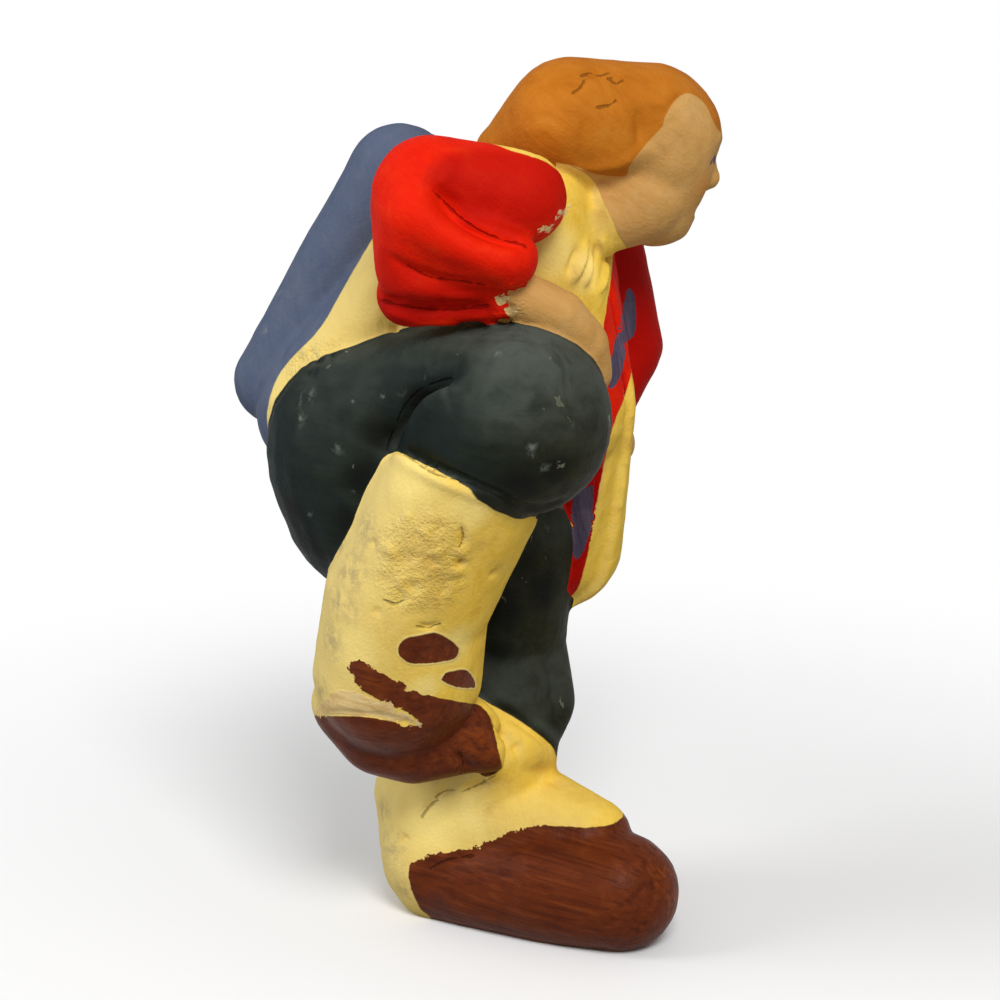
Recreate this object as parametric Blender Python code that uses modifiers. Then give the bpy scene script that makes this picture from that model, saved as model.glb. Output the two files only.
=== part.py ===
"""Hand-modelled figurine of a walking man with a pack on his back, in fired and painted clay.

He stands on his left foot, with his right knee raised and the right shoe pressed against the
standing ankle. All of him is one solid lump of clay, so he is one piece here too.

Sizes are in millimetres and become metres when a form is made. +X is the way he walks, +Y is his
left, +Z is up, and the origin lies on the ground under the middle of the sole. A limb runs from
joint to joint: each bone has a length, a lean forward of upright and a swing to his left, both in
degrees, and starts where the bone before it ends. The clay around a joint is a ball or an
ellipsoid with a radius, or half sizes, of its own, and a limb is the taut skin over two or more.
"""
import bpy
import bmesh
from math import cos, radians, sin
from mathutils import Matrix, Vector

MM = 0.001
COLLECTION = "terracotta_man_figurine"
SEGMENTS = 20
RINGS = 12

# Standing left foot: a broad shoe with the boot over its heel
HEEL_AT = Vector((-14.0, -1.0, 5.2))
HEEL_SIZE = (6.9, 7.8, 7.0)
HEEL_TO_BALL = 17.2
BALL_RISE = 6.9
BALL_SIZE = (8.8, 9.2, 8.8)
BALL_TO_TOE = 9.0
TOE_SIZE = (8.4, 8.2, 8.0)
TOE_TURN = -8.0
COUNTER_RISE = 1.8
COUNTER_RADIUS = 8.2
ANKLE_RISE = 10.3
ANKLE_LEAN = 13.0
ANKLE_SWING = 11.0
ANKLE_SIZE = (12.4, 9.4, 8.5)
INSTEP_RISE = 5.3
INSTEP_FORWARD = 3.8
INSTEP_LEFT = 1.4
INSTEP_RADIUS = 6.2
BOOT_NECK = 11.2
BOOT_NECK_LEAN = 33.0
BOOT_NECK_SWING = -9.0
BOOT_NECK_RADIUS = 7.8

# Standing left leg in baggy trousers
CUFF_BONE = 5.9
CUFF_LEAN = -22.8
CUFF_SWING = 36.9
CUFF_RADIUS = 9.9
SHIN_BONE = 8.2
SHIN_SWING = 7.0
SHIN_RADIUS = 8.7
LEFT_THIGH_BONE = 16.5
LEFT_THIGH_LEAN = -19.1
LEFT_THIGH_SWING = 10.5
LEFT_THIGH_RADIUS = 12.0
LAP_FORWARD = 7.0
LAP_RIGHT = 3.8
LAP_RADIUS = 9.6

# Pelvis and seat
CROTCH_BONE = 6.0
CROTCH_LEAN = 4.0
CROTCH_SWING = -9.5
CROTCH_SIZE = (14.2, 13.0, 13.0)
HIP_SPREAD = 15.8
HIP_BACK = 4.6
HIP_RISE = 2.0
HIP_SIZE = (14.8, 13.4, 14.2)
SEAT_RISE = 5.4
SEAT_LEAN = -20.0
SEAT_SIZE = (14.8, 13.6, 14.6)
LOIN_FORWARD = 8.2
LOIN_RISE = 4.0
LOIN_LEFT = 3.8
LOIN_SIZE = (11.5, 12.0, 11.0)

# Raised right leg, tall boot and small shoe
THIGH_ROOT_FORWARD = 10.0
THIGH_ROOT_RIGHT = 4.2
THIGH_ROOT_RISE = 7.9
THIGH_ROOT_RADIUS = 10.2
THIGH_BONE = 13.7
THIGH_LEAN = 88.6
THIGH_SWING = -26.0
KNEE_RADIUS = 11.9
BOOT_RIM_DROP = 8.3
BOOT_RIM_BACK = 7.7
BOOT_RIM_TILT = 20.4
BOOT_RIM_SWING = 21.4
BOOT_TOP_RADIUS = 10.5
BOOT_TOP_BACK = 4.7
BOOT_TOP_DROP = 3.4
CALF_BONE = 24.5
CALF_LEAN = 206.5
CALF_SWING = 6.0
CALF_RADIUS = 10.6
RIGHT_ANKLE_BONE = 11.1
RIGHT_ANKLE_LEAN = 192.8
RIGHT_ANKLE_SWING = 13.0
RIGHT_ANKLE_RADIUS = 11.0
SHOE_HEEL_BACK = 6.5
SHOE_HEEL_DROP = 5.0
SHOE_HEEL_RADIUS = 5.2
SHOE_SOLE_BACK = 2.3
SHOE_SOLE_DROP = 9.2
SHOE_SOLE_LEFT = 1.0
SHOE_SOLE_SIZE = (6.0, 6.4, 5.4)
SHOE_WAIST_FORWARD = 3.8
SHOE_WAIST_DROP = 0.9
SHOE_WAIST_LEFT = 1.0
SHOE_TOE_FORWARD = 7.1
SHOE_TOE_DROP = 9.4
SHOE_TOE_LEFT = 5.0
SHOE_TOE_RADIUS = 5.2

# Shirt and open coat
TORSO_BONE = 24.3
TORSO_LEAN = 1.5
TORSO_SWING = 14.3
CHEST_SIZE = (8.2, 14.0, 8.5)
NEAR_SHOULDER_FORWARD = 12.3
NEAR_SHOULDER_RISE = 5.3
NEAR_SHOULDER_RIGHT = 5.0
NEAR_SHOULDER_SIZE = (5.4, 8.0, 5.4)
FAR_SHOULDER_FORWARD = 10.1
FAR_SHOULDER_RISE = 3.1
FAR_SHOULDER_LEFT = 6.0
FAR_SHOULDER_SIZE = (5.2, 10.0, 6.0)
BACK_BEHIND = 18.2
BACK_DROP = 23.7
BACK_RIGHT = 4.8
BACK_SIZE = (9.2, 9.6, 9.4)
BELLY_FORWARD = 4.3
BELLY_DROP = 22.2
BELLY_LEFT = 2.0
BELLY_SIZE = (17.2, 13.5, 12.0)
COAT_TIP_BONE = 22.0
COAT_TIP_LEAN = 168.6
COAT_TIP_SWING = 16.0
COAT_TIP_SIZE = (9.4, 10.0, 8.8)
COAT_THICK = 1.2
COAT_OPENING = 3.6
COAT_OPENING_LEFT = 0.8
COAT_OPENING_LEAN = 4.0

# Pack: a rounded slab that lies against the coat
PACK_TOP_BEHIND = 9.2
PACK_TOP_RISE = 7.0
PACK_TOP_RIGHT = 1.0
PACK_TOP_RADIUS = 6.6
PACK_LENGTH = 32.6
PACK_LEAN = 210.6
PACK_WIDTH = 14.0
PACK_FAR_BACK = 1.8
PACK_FAR_DROP = 4.0
PACK_NEAR_SPLAY = 2.0
PACK_FAR_SPLAY = 5.0
PACK_BOTTOM_RADIUS = 6.2

# Right arm: bent, with the hand on the thigh
RIGHT_SHOULDER_FORWARD = 12.6
RIGHT_SHOULDER_OUT = 16.0
RIGHT_SHOULDER_RISE = 7.5
RIGHT_SHOULDER_RADIUS = 5.8
UPPER_ARM_BONE = 10.8
UPPER_ARM_LEAN = -88.3
UPPER_ARM_SWING = -22.0
UPPER_ARM_RADIUS = 7.5
ELBOW_BONE = 4.2
ELBOW_LEAN = 183.0
ELBOW_SWING = -62.0
ELBOW_RADIUS = 5.2
SLEEVE_BACK = 1.1
SLEEVE_BACK_LEFT = 1.4
SLEEVE_BACK_DROP = 3.4
SLEEVE_BACK_RADIUS = 5.0
SAG_BACK = 1.1
SAG_LEFT = 2.4
SAG_DROP = 6.6
SAG_RADIUS = 5.4
FOREARM_BONE = 11.8
FOREARM_LEAN = 113.7
FOREARM_SWING = 8.8
WRIST_RADIUS = 3.7
CUFF_IN = 2.0
CUFF_BACK_BACK = 1.8
CUFF_BACK_DROP = 3.7
CUFF_BACK_RADIUS = 4.0
CUFF_TIP_BACK = 1.5
CUFF_TIP_DROP = 6.0
CUFF_TIP_RADIUS = 1.9
CUFF_FOLD_BACK = 3.0
CUFF_FOLD_DROP = 3.9
CUFF_FOLD_RADIUS = 2.6
HAND_BONE = 6.2
HAND_LEAN = 178.3
HAND_SWING = 34.4
HAND_RADIUS = 3.0
PALM_BONE = 5.6
PALM_LEAN = 115.0
PALM_SWING = 16.0
FINGERS_BONE = 5.6
FINGERS_LEAN = 150.0
FINGERS_SWING = 32.0
FINGERS_RADIUS = 2.8
FINGERTIP_BONE = 4.7
FINGERTIP_LEAN = 173.0
FINGERTIP_SWING = 25.0
FINGERTIP_RADIUS = 2.2

# Left arm: hangs in front of the coat, with the hand on its edge
LEFT_SHOULDER_FORWARD = 11.2
LEFT_SHOULDER_OUT = 15.0
LEFT_SHOULDER_RISE = 0.4
LEFT_SHOULDER_RADIUS = 6.2
LEFT_ARM_BONE = 18.4
LEFT_ARM_LEAN = 169.0
LEFT_ARM_SWING = 9.4
LEFT_ELBOW_RADIUS = 5.6
LEFT_FOREARM_BONE = 7.8
LEFT_FOREARM_LEAN = 194.0
LEFT_FOREARM_SWING = -22.6
LEFT_WRIST_RADIUS = 4.7
LEFT_HAND_BONE = 6.4
LEFT_HAND_LEAN = 172.0
LEFT_HAND_SWING = 12.0
LEFT_HAND_RADIUS = 3.4

# Neck and head, which is bowed and turned to his left
NECK_FORWARD = 17.3
NECK_RISE = 3.2
NECK_RADIUS = 5.2
THROAT_BONE = 5.9
THROAT_LEAN = 62.0
THROAT_SWING = 30.6
THROAT_RADIUS = 6.2
HEAD_BONE = 7.8
HEAD_LEAN = -29.0
HEAD_BOW = 12.0
HEAD_YAW = 30.0
FACE_FORWARD = 5.0
FACE_SIZE = (9.0, 8.5, 9.0)
JAW_FORWARD = 7.2
JAW_DROP = 8.0
JAW_SIZE = (5.4, 5.2, 4.6)
NOSE_FORWARD = 13.4
NOSE_DROP = 0.5
NOSE_RADIUS = 1.3
NOSE_TIP_DROP = 2.6
NOSE_TIP_RADIUS = 1.6
FACE_RISE = 1.0
NOSE_BRIDGE_BACK = 1.2
HAIR_RIGHT = 4.0
HAIR_TAIL_BACK = 13.0
HAIR_TAIL_DROP = 1.6
HAIR_TAIL_RADIUS = 3.6
HAIR_NAPE_BACK = 8.2
HAIR_NAPE_DROP = 0.6
HAIR_NAPE_RADIUS = 6.0
CROWN_BACK = 4.2
CROWN_RISE = 2.6
CROWN_SIZE = (7.8, 9.6, 8.0)
FRINGE_FORWARD = 4.4
FRINGE_LEFT = 2.0
FRINGE_RISE = 2.2
FRINGE_SIZE = (7.8, 9.0, 7.2)
HAIR_SIDE_BACK = 0.9
HAIR_SIDE_RIGHT = 2.0
HAIR_SIDE_DROP = 0.2
HAIR_SIDE_SIZE = (8.0, 9.0, 5.0)

# How the skin over the forms is taken
SKIN_GRAIN = 0.7
SKIN_SOFTEN = 0.5
SKIN_SOFTEN_STEPS = 6
SKIN_KEEP = 0.06
GROUND_REACH = 4.0 * (HEEL_TO_BALL + BALL_TO_TOE)
GROUND_BLOCK = (GROUND_REACH, GROUND_REACH, 2.0 * BALL_RISE)

PAINTED_CLAY = (0.62, 0.44, 0.20, 1.0)
PAINT_ROUGHNESS = 0.7

FORWARD = Vector((1.0, 0.0, 0.0))
LEFT = Vector((0.0, 1.0, 0.0))
UP = Vector((0.0, 0.0, 1.0))
NO_TURN = Matrix.Identity(3)


def reach(start, length, lean, swing=0.0):
    """Return the end of a bone that starts at a point, from its length, lean and swing."""
    a = radians(lean)
    b = radians(swing)
    return start + length * Vector((sin(a) * cos(b), sin(b), cos(a) * cos(b)))


def shift(start, forward=0.0, left=0.0, up=0.0):
    """Return a point moved forward, to his left and up."""
    return start + forward * FORWARD + left * LEFT + up * UP


def lump(centre, size, turn=NO_TURN):
    """Return a ball of clay, or an ellipsoid with three half sizes, as centre, sizes and turn."""
    sizes = (size, size, size) if isinstance(size, float) else size
    return centre, Vector(sizes), turn


def skin(lumps, cuts=()):
    """Return a form: the taut skin over lumps, cut off in front of planes (point, normal)."""
    return {"lumps": lumps, "cuts": cuts}


def feet_and_legs():
    """Return the forms of the standing leg, the seat and the raised leg, and the loin's place."""
    toe_way = Matrix.Rotation(radians(TOE_TURN), 3, "Z") @ FORWARD
    heel = HEEL_AT
    ball = Vector((heel.x, heel.y, BALL_RISE)) + HEEL_TO_BALL * toe_way
    toe = ball + BALL_TO_TOE * toe_way
    counter = shift(heel, up=COUNTER_RISE)
    ankle = reach(heel, ANKLE_RISE, ANKLE_LEAN, ANKLE_SWING)
    instep = shift(ball, INSTEP_FORWARD, INSTEP_LEFT, INSTEP_RISE)
    neck = reach(ankle, BOOT_NECK, BOOT_NECK_LEAN, BOOT_NECK_SWING)
    cuff = reach(neck, CUFF_BONE, CUFF_LEAN, CUFF_SWING)
    shin = reach(cuff, SHIN_BONE, 0.0, SHIN_SWING)
    thigh = reach(shin, LEFT_THIGH_BONE, LEFT_THIGH_LEAN, LEFT_THIGH_SWING)
    lap = shift(thigh, forward=LAP_FORWARD, left=-LAP_RIGHT)
    crotch = reach(thigh, CROTCH_BONE, CROTCH_LEAN, CROTCH_SWING)
    hip = shift(crotch, forward=-HIP_BACK, left=-HIP_SPREAD, up=HIP_RISE)
    seat = reach(hip, SEAT_RISE, SEAT_LEAN)
    loin = shift(seat, forward=LOIN_FORWARD, left=LOIN_LEFT, up=LOIN_RISE)
    root = shift(seat, forward=THIGH_ROOT_FORWARD, left=-THIGH_ROOT_RIGHT, up=THIGH_ROOT_RISE)
    knee = reach(root, THIGH_BONE, THIGH_LEAN, THIGH_SWING)
    boot_top = shift(knee, forward=-BOOT_TOP_BACK, up=-BOOT_TOP_DROP)
    rim = shift(knee, forward=-BOOT_RIM_BACK, up=-BOOT_RIM_DROP)
    rim_up = reach(Vector(), 1.0, BOOT_RIM_TILT, BOOT_RIM_SWING)
    calf = reach(boot_top, CALF_BONE, CALF_LEAN, CALF_SWING)
    foot = reach(calf, RIGHT_ANKLE_BONE, RIGHT_ANKLE_LEAN, RIGHT_ANKLE_SWING)
    shoe_heel = shift(foot, forward=-SHOE_HEEL_BACK, up=-SHOE_HEEL_DROP)
    shoe_sole = shift(foot, -SHOE_SOLE_BACK, SHOE_SOLE_LEFT, -SHOE_SOLE_DROP)
    shoe_waist = shift(shoe_sole, SHOE_WAIST_FORWARD, SHOE_WAIST_LEFT, -SHOE_WAIST_DROP)
    shoe_toe = shift(foot, SHOE_TOE_FORWARD, SHOE_TOE_LEFT, -SHOE_TOE_DROP)
    yaw = Matrix.Rotation(radians(TOE_TURN), 3, "Z")
    forms = {
        "left_shoe": [
            skin([lump(heel, HEEL_SIZE, yaw), lump(ball, BALL_SIZE, yaw), lump(toe, TOE_SIZE, yaw)]),
        ],
        "left_boot": [
            skin([lump(counter, COUNTER_RADIUS), lump(ankle, ANKLE_SIZE), lump(instep, INSTEP_RADIUS)]),
            skin([lump(ankle, ANKLE_SIZE), lump(neck, BOOT_NECK_RADIUS)]),
        ],
        "trousers": [
            skin([lump(cuff, CUFF_RADIUS), lump(shin, SHIN_RADIUS)]),
            skin([lump(shin, SHIN_RADIUS), lump(thigh, LEFT_THIGH_RADIUS), lump(lap, LAP_RADIUS)]),
            skin([lump(thigh, LEFT_THIGH_RADIUS), lump(crotch, CROTCH_SIZE)]),
            skin([lump(crotch, CROTCH_SIZE), lump(hip, HIP_SIZE)]),
            skin([lump(hip, HIP_SIZE), lump(seat, SEAT_SIZE), lump(loin, LOIN_SIZE)]),
            skin([lump(seat, SEAT_SIZE), lump(root, THIGH_ROOT_RADIUS)]),
            skin([lump(root, THIGH_ROOT_RADIUS), lump(knee, KNEE_RADIUS)]),
        ],
        "right_boot": [
            skin([lump(boot_top, BOOT_TOP_RADIUS), lump(calf, CALF_RADIUS)], [(rim, rim_up)]),
            skin([lump(calf, CALF_RADIUS), lump(foot, RIGHT_ANKLE_RADIUS)]),
        ],
        "right_shoe": [
            skin([
                lump(shoe_heel, SHOE_HEEL_RADIUS),
                lump(shoe_sole, SHOE_SOLE_SIZE),
                lump(shoe_waist, SHOE_SOLE_SIZE),
                lump(shoe_toe, SHOE_TOE_RADIUS),
            ]),
        ],
    }
    return forms, loin


def shirt_coat_and_pack(loin):
    """Return the forms of the shirt, the two coat fronts and the pack, and the chest's place."""
    chest = reach(loin, TORSO_BONE, TORSO_LEAN, TORSO_SWING)
    near = shift(chest, NEAR_SHOULDER_FORWARD, -NEAR_SHOULDER_RIGHT, NEAR_SHOULDER_RISE)
    far = shift(chest, FAR_SHOULDER_FORWARD, FAR_SHOULDER_LEFT, FAR_SHOULDER_RISE)
    back = shift(chest, -BACK_BEHIND, -BACK_RIGHT, -BACK_DROP)
    belly = shift(chest, BELLY_FORWARD, BELLY_LEFT, -BELLY_DROP)
    tip = reach(belly, COAT_TIP_BONE, COAT_TIP_LEAN, COAT_TIP_SWING)
    body = [
        lump(chest, CHEST_SIZE),
        lump(near, NEAR_SHOULDER_SIZE),
        lump(far, FAR_SHOULDER_SIZE),
        lump(back, BACK_SIZE),
        lump(belly, BELLY_SIZE),
    ]
    skirt = [lump(belly, BELLY_SIZE), lump(tip, COAT_TIP_SIZE)]
    under = Vector((COAT_THICK, COAT_THICK, COAT_THICK))
    across = Matrix.Rotation(radians(COAT_OPENING_LEAN), 3, "X") @ LEFT
    middle = shift(chest, left=COAT_OPENING_LEFT)
    near_edge = middle - 0.5 * COAT_OPENING * across
    far_edge = middle + 0.5 * COAT_OPENING * across
    pack_top = shift(chest, -PACK_TOP_BEHIND, -PACK_TOP_RIGHT, PACK_TOP_RISE)
    pack_far = shift(pack_top, -PACK_FAR_BACK, PACK_WIDTH, -PACK_FAR_DROP)
    pack_foot = reach(pack_top, PACK_LENGTH, PACK_LEAN, -PACK_NEAR_SPLAY)
    pack_far_foot = reach(pack_far, PACK_LENGTH, PACK_LEAN, PACK_FAR_SPLAY)
    forms = {
        "shirt": [
            skin([(place, size - under, turn) for place, size, turn in body]),
            skin([(place, size - under, turn) for place, size, turn in skirt], [(near_edge, -across)]),
        ],
        "coat": [
            skin(body, [(near_edge, across)]),
            skin(body, [(far_edge, -across)]),
            skin(skirt, [(far_edge, -across)]),
        ],
        "pack": [
            skin([
                lump(pack_top, PACK_TOP_RADIUS),
                lump(pack_far, PACK_TOP_RADIUS),
                lump(pack_foot, PACK_BOTTOM_RADIUS),
                lump(pack_far_foot, PACK_BOTTOM_RADIUS),
            ]),
        ],
    }
    return forms, chest


def arms(chest):
    """Return the forms of both sleeves and both hands."""
    shoulder = shift(chest, RIGHT_SHOULDER_FORWARD, -RIGHT_SHOULDER_OUT, RIGHT_SHOULDER_RISE)
    upper = reach(shoulder, UPPER_ARM_BONE, UPPER_ARM_LEAN, UPPER_ARM_SWING)
    elbow = reach(upper, ELBOW_BONE, ELBOW_LEAN, ELBOW_SWING)
    wrist = reach(elbow, FOREARM_BONE, FOREARM_LEAN, FOREARM_SWING)
    behind = shift(elbow, -SLEEVE_BACK, SLEEVE_BACK_LEFT, -SLEEVE_BACK_DROP)
    sag = shift(elbow, forward=-SAG_BACK, left=SAG_LEFT, up=-SAG_DROP)
    cuff_back = shift(sag, forward=-CUFF_BACK_BACK, left=0.5 * CUFF_IN, up=-CUFF_BACK_DROP)
    cuff_tip = shift(wrist, forward=-CUFF_TIP_BACK, left=CUFF_IN, up=-CUFF_TIP_DROP)
    cuff_fold = shift(wrist, forward=-CUFF_FOLD_BACK, left=CUFF_IN, up=-CUFF_FOLD_DROP)
    hand = reach(wrist, HAND_BONE, HAND_LEAN, HAND_SWING)
    palm = reach(hand, PALM_BONE, PALM_LEAN, PALM_SWING)
    fingers = reach(palm, FINGERS_BONE, FINGERS_LEAN, FINGERS_SWING)
    fingertip = reach(fingers, FINGERTIP_BONE, FINGERTIP_LEAN, FINGERTIP_SWING)
    left_shoulder = shift(chest, LEFT_SHOULDER_FORWARD, LEFT_SHOULDER_OUT, LEFT_SHOULDER_RISE)
    left_elbow = reach(left_shoulder, LEFT_ARM_BONE, LEFT_ARM_LEAN, LEFT_ARM_SWING)
    left_wrist = reach(left_elbow, LEFT_FOREARM_BONE, LEFT_FOREARM_LEAN, LEFT_FOREARM_SWING)
    left_hand = reach(left_wrist, LEFT_HAND_BONE, LEFT_HAND_LEAN, LEFT_HAND_SWING)
    return {
        "right_sleeve": [
            skin([lump(shoulder, RIGHT_SHOULDER_RADIUS), lump(upper, UPPER_ARM_RADIUS)]),
            skin([lump(upper, UPPER_ARM_RADIUS), lump(elbow, ELBOW_RADIUS), lump(sag, SAG_RADIUS)]),
            skin([
                lump(elbow, ELBOW_RADIUS),
                lump(behind, SLEEVE_BACK_RADIUS),
                lump(wrist, WRIST_RADIUS),
            ]),
            skin([
                lump(sag, CUFF_BACK_RADIUS),
                lump(cuff_back, CUFF_BACK_RADIUS),
                lump(cuff_tip, CUFF_TIP_RADIUS),
                lump(cuff_fold, CUFF_FOLD_RADIUS),
            ]),
        ],
        "right_hand": [
            skin([lump(hand, HAND_RADIUS), lump(palm, HAND_RADIUS)]),
            skin([lump(palm, HAND_RADIUS), lump(fingers, FINGERS_RADIUS)]),
            skin([lump(fingers, FINGERS_RADIUS), lump(fingertip, FINGERTIP_RADIUS)]),
        ],
        "left_sleeve": [
            skin([lump(left_shoulder, LEFT_SHOULDER_RADIUS), lump(left_elbow, LEFT_ELBOW_RADIUS)]),
            skin([lump(left_elbow, LEFT_ELBOW_RADIUS), lump(left_wrist, LEFT_WRIST_RADIUS)]),
        ],
        "left_hand": [
            skin([lump(left_wrist, LEFT_HAND_RADIUS), lump(left_hand, LEFT_HAND_RADIUS)]),
        ],
    }


def neck_and_head(chest):
    """Return the forms of the neck, the face and the hair."""
    neck = shift(chest, forward=NECK_FORWARD, up=NECK_RISE)
    throat = reach(neck, THROAT_BONE, THROAT_LEAN, THROAT_SWING)
    head = reach(throat, HEAD_BONE, HEAD_LEAN)
    turn = Matrix.Rotation(radians(HEAD_YAW), 3, "Z") @ Matrix.Rotation(radians(HEAD_BOW), 3, "Y")
    face = head + turn @ Vector((FACE_FORWARD, 0.0, FACE_RISE))
    jaw = head + turn @ Vector((JAW_FORWARD, 0.0, -JAW_DROP))
    nose = head + turn @ Vector((NOSE_FORWARD - NOSE_BRIDGE_BACK, 0.0, NOSE_DROP))
    nose_tip = head + turn @ Vector((NOSE_FORWARD, 0.0, -NOSE_TIP_DROP))
    tail = shift(head, forward=-HAIR_TAIL_BACK, left=-HAIR_RIGHT, up=-HAIR_TAIL_DROP)
    nape = shift(head, forward=-HAIR_NAPE_BACK, left=-HAIR_RIGHT, up=-HAIR_NAPE_DROP)
    crown = shift(head, forward=-CROWN_BACK, left=-HAIR_RIGHT, up=CROWN_RISE)
    fringe = shift(head, forward=FRINGE_FORWARD, left=FRINGE_LEFT, up=FRINGE_RISE)
    side = shift(head, forward=-HAIR_SIDE_BACK, left=-HAIR_SIDE_RIGHT, up=-HAIR_SIDE_DROP)
    return {
        "neck": [skin([lump(neck, NECK_RADIUS), lump(throat, THROAT_RADIUS)])],
        "face": [
            skin([lump(face, FACE_SIZE, turn), lump(jaw, JAW_SIZE, turn)]),
            skin([lump(nose, NOSE_RADIUS), lump(nose_tip, NOSE_TIP_RADIUS)]),
        ],
        "hair": [
            skin([
                lump(tail, HAIR_TAIL_RADIUS),
                lump(nape, HAIR_NAPE_RADIUS),
                lump(crown, CROWN_SIZE),
                lump(fringe, FRINGE_SIZE),
                lump(side, HAIR_SIDE_SIZE),
            ]),
        ],
    }


def figure():
    """Return every form of the man, by the name of what it shows."""
    forms, loin = feet_and_legs()
    clothes, chest = shirt_coat_and_pack(loin)
    forms.update(clothes)
    forms.update(arms(chest))
    forms.update(neck_and_head(chest))
    return forms


def add_form(target, form):
    """Add one form to a bmesh: balls, the hull around them, and its cuts closed flat."""
    bm = bmesh.new()
    for centre, sizes, turn in form["lumps"]:
        matrix = Matrix.Translation(centre * MM) @ turn.to_4x4() @ Matrix.Diagonal((*(sizes * MM), 1.0))
        bmesh.ops.create_uvsphere(bm, u_segments=SEGMENTS, v_segments=RINGS, radius=1.0, matrix=matrix)
    found = bmesh.ops.convex_hull(bm, input=bm.verts)
    spare = {item for item in found["geom_interior"] if isinstance(item, bmesh.types.BMVert)}
    spare |= {item for item in found["geom_unused"] if isinstance(item, bmesh.types.BMVert)}
    bmesh.ops.delete(bm, geom=list(spare), context="VERTS")
    loose = [face for face in bm.faces if face not in set(found["geom"])]
    bmesh.ops.delete(bm, geom=loose, context="FACES")
    for point, normal in form["cuts"]:
        geometry = bm.verts[:] + bm.edges[:] + bm.faces[:]
        cut = bmesh.ops.bisect_plane(
            bm, geom=geometry, plane_co=point * MM, plane_no=normal, clear_outer=True
        )
        edges = [item for item in cut["geom_cut"] if isinstance(item, bmesh.types.BMEdge)]
        bmesh.ops.holes_fill(bm, edges=edges)
    bmesh.ops.recalc_face_normals(bm, faces=bm.faces)
    mesh = bpy.data.meshes.new("form")
    bm.to_mesh(mesh)
    bm.free()
    target.from_mesh(mesh)
    bpy.data.meshes.remove(mesh)


def make_clay_material():
    """Return the painted clay."""
    material = bpy.data.materials.new("painted_clay")
    material.use_nodes = True
    shader = material.node_tree.nodes["Principled BSDF"]
    shader.inputs["Base Color"].default_value = PAINTED_CLAY
    shader.inputs["Roughness"].default_value = PAINT_ROUGHNESS
    shader.inputs["Metallic"].default_value = 0.0
    return material


def make_ground(collection):
    """Return the block under the ground that cuts the sole flat."""
    bpy.ops.mesh.primitive_cube_add(size=1.0, location=(0.0, 0.0, -0.5 * GROUND_BLOCK[2] * MM))
    block = bpy.context.object
    block.name = "ground_cutter"
    block.scale = [side * MM for side in GROUND_BLOCK]
    bpy.ops.object.transform_apply(location=False, rotation=False, scale=True)
    for other in block.users_collection:
        other.objects.unlink(block)
    collection.objects.link(block)
    block.hide_render = True
    block.display_type = "WIRE"
    return block


def build():
    """Make the man as one solid that stands on a flat sole."""
    for item in list(bpy.data.objects):
        bpy.data.objects.remove(item, do_unlink=True)
    parts = bpy.data.collections.new(COLLECTION)
    cutters = bpy.data.collections.new("cutters")
    bpy.context.scene.collection.children.link(parts)
    bpy.context.scene.collection.children.link(cutters)
    ground = make_ground(cutters)

    bm = bmesh.new()
    for forms in figure().values():
        for form in forms:
            add_form(bm, form)
    mesh = bpy.data.meshes.new("figurine")
    bm.to_mesh(mesh)
    bm.free()
    man = bpy.data.objects.new("figurine", mesh)
    man.data.materials.append(make_clay_material())
    parts.objects.link(man)

    skin_over = man.modifiers.new("skin_over_forms", "REMESH")
    skin_over.mode = "VOXEL"
    skin_over.voxel_size = SKIN_GRAIN * MM
    skin_over.adaptivity = 0.0
    skin_over.use_smooth_shade = True
    soften = man.modifiers.new("thumbed_smooth", "SMOOTH")
    soften.factor = SKIN_SOFTEN
    soften.iterations = SKIN_SOFTEN_STEPS
    facets = man.modifiers.new("fewer_facets", "DECIMATE")
    facets.ratio = SKIN_KEEP
    sole = man.modifiers.new("flat_sole", "BOOLEAN")
    sole.operation = "DIFFERENCE"
    sole.solver = "EXACT"
    sole.object = ground


build()
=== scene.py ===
"""Looks of a hand-modelled clay figurine: a walking man with a pack on his back.

He is one lump of fired clay under matte paint. The clay is built from the same joints and balls
as the solid that it stands for, at a finer grain, and then thumbed, creased and pitted. Sizes are
in millimetres until the mesh is made. +X is the way he walks, +Y is his left and +Z is up.
"""
from math import cos, pi, radians, sin

import bmesh
import bpy
import numpy as np
from mathutils import Matrix, Vector, noise
from mathutils.bvhtree import BVHTree


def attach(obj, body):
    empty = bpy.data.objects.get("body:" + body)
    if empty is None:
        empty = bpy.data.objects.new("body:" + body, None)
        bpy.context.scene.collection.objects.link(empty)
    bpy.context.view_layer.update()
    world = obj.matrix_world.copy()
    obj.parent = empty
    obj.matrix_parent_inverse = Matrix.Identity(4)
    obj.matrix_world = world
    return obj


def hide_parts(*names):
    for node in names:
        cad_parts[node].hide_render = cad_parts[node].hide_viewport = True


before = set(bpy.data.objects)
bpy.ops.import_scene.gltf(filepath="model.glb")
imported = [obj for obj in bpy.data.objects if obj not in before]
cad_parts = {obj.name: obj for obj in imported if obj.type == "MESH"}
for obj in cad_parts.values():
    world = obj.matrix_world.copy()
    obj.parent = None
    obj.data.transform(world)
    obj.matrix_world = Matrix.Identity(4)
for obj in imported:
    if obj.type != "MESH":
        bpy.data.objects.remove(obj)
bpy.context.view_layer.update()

MM = 0.001
SEGMENTS = 24
RINGS = 14

# Standing left foot: the balls of the broad shoe, which is turned with the toe
HEEL_AT = Vector((-14.0, -1.0, 5.2))
HEEL_SIZE = (6.9, 7.8, 7.0)
HEEL_TO_BALL = 17.2
BALL_RISE = 6.9
BALL_SIZE = (8.8, 9.2, 8.8)
BALL_TO_TOE = 9.0
TOE_SIZE = (8.4, 8.2, 8.0)
TOE_TURN = -8.0

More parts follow.
